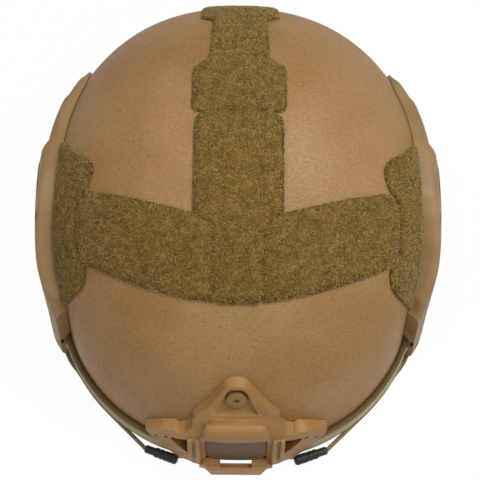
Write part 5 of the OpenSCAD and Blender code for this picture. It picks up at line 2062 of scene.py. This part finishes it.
@dataclass
class Liner:
    """The fabric-covered foam pads on the inner wall and their hook discs."""

    back: float = -10.8
    thick: float = 18.0
    rim_share: float = 0.45
    crown_r: float = 46.0
    squareness: float = 0.6
    shares: tuple[float, ...] = (0.12, 0.3, 0.5, 0.7, 0.85, 0.94, 1.0)
    seam_share: float = 0.985
    stitch_share: float = 0.99
    stitch_pitch: float = 3.0
    stitch_thread: float = 0.3
    front_place: tuple[float, float, float, float] = (0, 66, 25, 22)
    rear_place: tuple[float, float, float, float] = (180, 98, 26, 23)
    side_front_place: tuple[float, float, float, float] = (48, 86, 15, 27)
    side_rear_place: tuple[float, float, float, float] = (95, 115, 10.5, 21)
    cloth: SoftPad = field(default_factory=SoftPad)

    def depth(self, f: float) -> float:
        """Offset of the pad's face at a share of its radius."""
        return self.back - (self.thick - self.cloth.margin) * mix(self.rim_share, 1, (1 - f**4) ** 0.5)

    def pillow(self, node: str, ring: Callable[[float, float], Array], looks: Finishes) -> None:
        """Makes one pad.

        Args:
            node: The CAD node that it replaces.
            ring: Gives the pad's ring of points at a share of its radius and an offset.
            looks: The finishes.
        """
        back = [ring(f, self.back) for f in self.shares]
        middle = [ring(1.01, mix(self.back, self.depth(1), 0.5))]
        face = [ring(f, self.depth(f)) for f in reversed(self.shares)]
        piece = MeshBuilder.loft(node + "_pillow", np.array(back + middle + face), sharp=80)
        seam = ring(self.seam_share, self.depth(self.seam_share) - 0.6)
        self.cloth.finish(piece, np.concatenate(back), denser(seam), looks, node)
        line = ring(self.stitch_share, self.depth(self.stitch_share) + 0.9)
        Stitching.sew(node + "_seam", [np.vstack([line, line[:1]])], looks, self.stitch_pitch,
                      self.stitch_thread)

    def wall_pad(self, node: str, place: tuple, side: int, looks: Finishes) -> None:
        """Makes a pad on the inner wall.

        Args:
            node: The CAD node that it replaces.
            place: Its azimuth and height, and half its width and height there.
            side: Which way the azimuth is counted.
            looks: The finishes.
        """
        a, z, half_a, half_z = place
        reach = float(FORM.plan_radius(a, -FORM.wall)) * math.radians(half_a)
        line = rounded_square(self.squareness, self.cloth.spokes) * [1 - self.cloth.margin / reach,
                                                                     1 - self.cloth.margin / half_z]

        def ring(f: float, d: float) -> Array:
            """Gives one ring of the pad's points."""
            return FORM.point(side * a + half_a * f * line[:, 0], z + half_z * f * line[:, 1], d)

        self.pillow(node, ring, looks)

    def build(self, looks: Finishes) -> None:
        """Makes all seven pads and dresses the discs.

        Args:
            looks: The finishes.
        """
        x, y = rounded_square(1, self.cloth.spokes).T
        reach = self.crown_r - self.cloth.margin
        centre = FORM.crown_shift
        self.pillow("crown_pad", lambda f, d: FORM.top(reach * f * x, centre + reach * f * y, d), looks)
        self.wall_pad("front_pad", self.front_place, 1, looks)
        self.wall_pad("rear_pad", self.rear_place, 1, looks)
        for hand in Hand:
            self.wall_pad(f"side_pad_front_{hand.word}", self.side_front_place, hand.value, looks)
            self.wall_pad(f"side_pad_rear_{hand.word}", self.side_rear_place, hand.value, looks)
        dress("hook_discs", looks.hook_tape, "hook_tape", 0)


@dataclass
class NapeDial:
    """The nape pad, the dial and the two halves of the fit band."""

    housing_front: float = 88.0
    dial_z: float = 25.0
    pad_half: float = 47.0
    pad_pinch: float = 0.1
    pad_base: float = 4.0
    pad_swell: float = 9.0
    pad_back: float = 0.2
    pad_curve: float = 240.0
    pad_lift: float = 4.0
    pad_half_z: float = 19.0
    band_width: float = 13.0
    band_thick: float = 1.6
    band_inset: float = 3.3
    band_z: float = 50.0
    disc_thick: float = 1.5
    band_room: float = 0.8
    band_steps: int = 90
    seam_share: float = 0.84
    cloth: SoftPad = field(default_factory=lambda: SoftPad(held=4.0))

    def pad_point(self, u: Array, v: Array, front: bool, inset: float) -> Array:
        """Points of the nape pad.

        Args:
            u, v: Places across and up the pad, from -1 to 1.
            front: Whether they lie on its face.
            inset: How much smaller it is than its solid.

        Returns:
            Points in the row's frame.
        """
        x = (self.pad_half - inset) * u * (1 - self.pad_pinch * v * v)
        swell = np.maximum(0, (1 - np.abs(u) ** 4) * (1 - np.abs(v) ** 4)) ** 0.4
        proud = self.pad_base + self.pad_swell * swell - inset if front else self.pad_back
        y = self.housing_front - FORM.seat_gap - x * x / self.pad_curve - proud + FORM.shift
        z = self.dial_z + self.pad_lift + v * (self.pad_half_z - inset)
        return np.stack(np.broadcast_arrays(x, y, z), -1)

    def band(self, hand: Hand, looks: Finishes) -> None:
        """Makes one half of the fit band.

        Args:
            hand: The side.
            looks: The finishes.
        """
        d = -(FORM.wall + self.disc_thick + 2 * FORM.seat_gap + self.band_room) - self.band_thick / 2
        y, z = self.housing_front + self.band_inset + FORM.shift, self.dial_z
        stations = [FORM.point(a, self.band_z, d) for a in (-130, -134, -139)]
        stations += [FORM.point(-145, self.band_z, d) + [3, -7, -5], [-56, y + 5, z + 9],
                     [-47, y + 1, z + 2.5], [-41, y, z], [-11, y, z]]
        path = spline(stations, self.band_steps) * [-hand.value, 1, 1]
        across = np.tile([0.0, 0.0, 1.0], (len(path), 1))
        node = f"fit_band_{hand.word}"
        piece = Webbing.strap(node + "_strip", path, across, self.band_width, self.band_thick)
        install(piece, looks.black, "black_plastic", "helmet", node)

    def build(self, looks: Finishes) -> None:
        """Makes the pad and bands and dresses the dial.

        Args:
            looks: The finishes.
        """
        self.cloth.flat_backed("nape_pad", self.pad_point, self.seam_share, looks)
        for hand in Hand:
            self.band(hand, looks)
        dress("dial_housing", looks.black, "black_plastic", 0.4)
        dress("dial_spool", looks.rail, "moulded_tan", 0.3, "dial")
        dress("dial_knob", looks.grip, "black_plastic", 0.3, "dial")
        dress("dial_screw", looks.steel, "dark_steel", 0.3, "dial")


@dataclass
class ChinHarness:
    """The four harness straps, the sliders, the chin strap with its cup, and the buckle."""

    width: float = 19.0
    thick: float = 1.6
    slider_x: float = 82.0
    slider_z: float = 17.0
    chin_y: float = -14.0
    chin_floor: float = 1.0
    socket_high: float = 8.0
    buckle_x: float = 15.0
    tongue_x: float = 40.3
    lead: float = 6.0
    nut_flange: float = 1.1
    over_cut: float = 6.0
    trim_room: float = 0.8
    slider_top: float = 9.6
    slider_foot: float = 9.9
    stitch_edge: float = 2.4
    stitch_lift: float = 0.05
    side_box: tuple[int, int] = (14, 3)
    chin_box: tuple[int, int] = (20, 7)
    cup_x: float = -15.0
    cup_half: float = 27.0
    cup_half_y: float = 14.0
    cup_pinch: float = 4.0
    cup_back: float = 0.2
    cup_base: float = 3.0
    cup_swell: float = 4.5
    steps: int = 96
    cup_seam_share: float = 0.86
    cloth: SoftPad = field(default_factory=lambda: SoftPad(voxel=2.6, held=2.0, margin=0.6, cap=0.7,
                                                           seam_width=2.0, seam_depth=0.8))

    def web(self, node: str, hand: Hand, path: Array, across: Array, ends: tuple[int, int],
            looks: Finishes) -> None:
        """Makes one strap, mirrored to its side, with a stitched box near its end.

        Args:
            node: The CAD node that it replaces.
            hand: Its side; the path and the width are given for the positive side of x.
            path: Its centreline in millimetres.
            across: Direction of its width at each point.
            ends: Steps from the path's end at which the box starts and stops.
            looks: The finishes.
        """
        mirror = np.array([hand.value, 1, 1])
        path, across = path * mirror, across * mirror
        piece = Webbing.strap(node + "_web", path, across, self.width, self.thick)
        install(piece, looks.webbing, "webbing", "helmet", node)
        self.stitch_box(node + "_stitches", path, across, self.steps - ends[0], self.steps - ends[1], looks)

    def side_strap(self, node: str, hand: Hand, hold_at: tuple[float, float], end_y: float,
                   looks: Finishes) -> None:
        """Makes one harness strap from its nut to the slider.

        Args:
            node: The CAD node that it replaces.
            hand: Its side.
            hold_at: Azimuth and height of its nut.
            end_y: Where it meets the slider.
            looks: The finishes.
        """
        a, z = hold_at
        n = FORM.normal(-a, z)
        hold = FORM.point(-a, z, 0) + n * (-(FORM.wall + self.nut_flange) - FORM.seat_gap - self.thick / 2)
        low = np.array([0.0, 0.0, -1.0])
        down = unit(low - n * float(low @ n))
        over = FORM.ear_cut_height + self.over_cut
        clear = -(FORM.wall + FORM.trim_wall + 2 * FORM.seat_gap) - self.trim_room - self.thick / 2
        end = np.array([-self.slider_x, end_y, self.slider_z + self.slider_top])
        below = [FORM.point(-mix(a, 94, q), h, d) for h, d, q in
                 ((over + 1.5, clear, 0.03), (over - 8, clear - 1, 0.2), (over - 22, clear - 3, 0.45))]
        stations = [hold - down * 6, hold, hold + down * 8, *below, mix(below[2], end, 0.55) + [4, 0, 0],
                    end + [0, 0, 6], end]
        path = spline(stations, self.steps)
        turn = smooth((np.arange(self.steps + 1) * 24 / self.steps - 6) / 9)[:, None]
        across = mix(np.cross(down, n)[None, :], np.array([[0.0, 1.0, 0.0]]), turn)
        flip = np.array([-1, 1, 1])
        self.web(node, hand, path * flip, across * flip, self.side_box, looks)

    def stitch_box(self, name: str, path: Array, across: Array, first: int, last: int,
                   looks: Finishes) -> None:
        """Sews a crossed box through a strap.

        Args:
            name: Name of the stitches.
            path, across: The strap's centreline and the direction of its width.
            first, last: Places of the path between which the box lies.
            looks: The finishes.
        """
        side, normal = Webbing.frames(path, across)
        half, lift = self.width / 2 - self.stitch_edge, self.thick / 2 + self.stitch_lift
        lines = []
        for face in (-1, 1):
            def at(i: int, s: float) -> Array:
                """Gives a place across the strap at a step of its path."""
                return path[i] + side[i] * s * half + normal[i] * lift * face

            span = range(first, last + 1)
            lines += [np.array([at(i, s) for i in span]) for s in (-1, 1)]
            lines += [np.array([at(i, s) for s in np.linspace(-1, 1, 9)]) for i in (first, last)]
            for s in (-1, 1):
                lines.append(np.array([at(i, s * mix(-1, 1, (i - first) / (last - first))) for i in span]))
        Stitching.sew(name, lines, looks)

    def chin_web(self, hand: Hand, to_x: float, looks: Finishes) -> None:
        """Makes one half of the chin strap.

        Args:
            hand: Its side.
            to_x: Place of its inner end, counted towards its own side.
            looks: The finishes.
        """
        low = self.chin_floor + 2.3
        lie = self.chin_floor + self.socket_high + FORM.seat_gap + self.thick / 2
        x = self.slider_x
        stations = [[x, 0, self.slider_z - self.slider_foot], [x - 0.4, 0, low + 1.6], [x - 2.8, -1, low],
                    [x - 8, -4, low + 0.2], [x - 16, -9, low + 3.4], [x - 23, self.chin_y + 1.2, lie]]
        stations += [[mix(x - 23, hand.value * to_x, f), self.chin_y, lie] for f in (0.3, 0.65, 1)]
        path = spline(stations, self.steps)
        u = np.arange(self.steps + 1) * (len(stations) - 1) / self.steps
        turned = 0.56 * smooth((u - 0.6) / 2) * (1 - smooth((u - 4) / 2))
        across = np.stack([-turned, np.ones_like(u), np.zeros_like(u)], 1)
        self.web(f"chin_strap_{hand.word}", hand, path, across, self.chin_box, looks)

    def cup_point(self, u: Array, v: Array, top: bool, inset: float) -> Array:
        """Points of the chin cup.

        Args:
            u, v: Places along and across the cup, from -1 to 1.
            top: Whether they lie on its upper face.
            inset: How much smaller it is than its solid.

        Returns:
            Points in the row's frame.
        """
        swell = np.maximum(0, (1 - np.abs(u) ** 6) * (1 - np.abs(v) ** 4)) ** 0.5
        x = self.cup_x + (self.cup_half - inset) * u
        y = self.chin_y + v * (self.cup_half_y - self.cup_pinch * u * u - inset)
        z = self.chin_floor + (self.cup_base + self.cup_swell * swell - inset if top else self.cup_back)
        return np.stack(np.broadcast_arrays(x, y, z), -1)

    def build(self, looks: Finishes) -> None:
        """Makes the straps and the cup and dresses the hard pieces.

        Args:
            looks: The finishes.
        """
        for hand in Hand:
            self.side_strap(f"strap_front_{hand.word}", hand, FORM.front_hold, -self.width / 2 - 0.5, looks)
            self.side_strap(f"strap_rear_{hand.word}", hand, FORM.rear_hold, self.width / 2 + 0.5, looks)
            dress(f"slider_{hand.word}", looks.black, "black_plastic", 0.5)
        self.chin_web(Hand.LEFT, self.buckle_x + self.lead, looks)
        self.chin_web(Hand.RIGHT, self.tongue_x + self.lead, looks)
        self.cloth.flat_backed("chin_cup", self.cup_point, self.cup_seam_share, looks)
        for part in ("socket", "tongue"):
            dress(f"buckle_{part}", looks.black, "black_plastic", 0.5)
        for prong in ("prong_front", "prong_rear"):
            dress(f"buckle_{prong}", looks.black, "black_plastic", 0.3, prong)


@dataclass(frozen=True)
class Lamp:
    """One soft round area lamp."""

    name: str
    place: tuple[float, float, float]
    aim: tuple[float, float, float]
    size: float
    power: float

    def light(self) -> None:
        """Adds the lamp."""
        data = bpy.data.lights.new(self.name, "AREA")
        data.shape = "DISK"
        data.size = self.size
        data.energy = self.power
        lamp = placed(self.name, data)
        lamp.location = self.place
        lamp.rotation_euler = (Vector(self.aim) - Vector(self.place)).to_track_quat("-Z", "Y").to_euler()


@dataclass
class Stage:
    """Floor, backdrop, lamps and the camera at the photo's viewpoint."""

    place: tuple[float, float, float] = (0.0, -0.3249, 0.6479)
    tilt: float = 27.92
    roll: float = 0.746
    turn: float = -0.2255
    lens: float = 79.11
    sensor: float = 36.0
    near: float = 0.01
    lamps: tuple[Lamp, ...] = (Lamp("key", (0.6, -0.05, 1.55), (0, 0, 0.1), 1.0, 21),
                               Lamp("fill", (-0.85, -0.2, 1.15), (0, 0, 0.1), 1.2, 5),
                               Lamp("front", (0.4, -1.3, 0.8), (0, 0, 0.05), 1.2, 4.5))
    floor_reach: float = 6.0
    floor_z: float = -0.0004
    floor_tone: tuple[float, float, float, float] = (0.52, 0.47, 0.4, 1)
    floor_glow: float = 1.07
    glow_share: float = 0.88
    world_light: float = 0.3

    def camera(self) -> None:
        """Sets the camera."""
        data = bpy.data.cameras.new("camera")
        data.lens = self.lens
        data.sensor_width = self.sensor
        data.clip_start = self.near
        eye = placed("camera", data)
        roll, tilt, turn = (Matrix.Rotation(math.radians(angle), 4, axis)
                            for angle, axis in ((self.roll, "Z"), (self.tilt, "X"), (self.turn, "Z")))
        eye.matrix_world = Matrix.Translation(self.place) @ turn @ tilt @ roll
        bpy.context.scene.camera = eye

    def floor(self) -> None:
        """Adds a pale floor that the camera sees as white and that keeps the object's shadow."""
        mesh = bpy.data.meshes.new("floor")
        r = self.floor_reach
        mesh.from_pydata([(-r, -r, 0), (r, -r, 0), (r, r, 0), (-r, r, 0)], [], [(0, 1, 2, 3)])
        ground = placed("floor", mesh)
        ground.location.z = self.floor_z
        material = bpy.data.materials.new("floor_pale")
        material.use_nodes = True
        nodes = NodeTree(material.node_tree)
        diffuse = nodes.add("ShaderNodeBsdfDiffuse", sockets={0: self.floor_tone})
        glow = nodes.add("ShaderNodeEmission", sockets={1: self.floor_glow})
        ray = nodes.add("ShaderNodeLightPath").outputs
        seen = nodes.add("ShaderNodeMath", {"operation": "MAXIMUM"},
                         {0: ray["Is Camera Ray"], 1: ray["Is Glossy Ray"]})
        share = nodes.add("ShaderNodeMath", {"operation": "MULTIPLY"},
                          {0: seen.outputs[0], 1: self.glow_share})
        both = nodes.add("ShaderNodeMixShader",
                         sockets={0: share.outputs[0], 1: diffuse.outputs[0], 2: glow.outputs[0]})
        nodes.add("ShaderNodeOutputMaterial", sockets={0: both.outputs[0]})
        mesh.materials.append(material)

    def world(self) -> None:
        """Sets an even pale world that the camera sees as white."""
        world = bpy.data.worlds.new("studio")
        bpy.context.scene.world = world
        world.use_nodes = True
        nodes = NodeTree(world.node_tree)
        soft, white = (nodes.add("ShaderNodeBackground", sockets={1: strength}).outputs[0]
                       for strength in (self.world_light, 1.0))
        ray = nodes.add("ShaderNodeLightPath").outputs
        both = nodes.add("ShaderNodeMixShader", sockets={0: ray["Is Camera Ray"], 1: soft, 2: white})
        nodes.add("ShaderNodeOutputWorld", sockets={0: both.outputs[0]})

    def build(self) -> None:
        """Sets the whole stage."""
        self.camera()
        self.floor()
        self.world()
        for lamp in self.lamps:
            lamp.light()
        bpy.context.scene.view_settings.view_transform = "Standard"


def main() -> None:
    """Builds the stage and every sub-assembly in order."""
    logging.basicConfig(level=logging.INFO, format="%(message)s")
    Stage().build()
    looks = Finishes()
    rail = SideRail()
    Bungees().build(rail, looks)
    PaintedShell().build(looks)
    EdgeTrim().build(looks)
    rail.build(looks)
    FrontShroud().build(looks)
    LoopFabric().build(rail, looks)
    Liner().build(looks)
    NapeDial().build(looks)
    ChinHarness().build(looks)


if __name__ == "__main__":
    main()
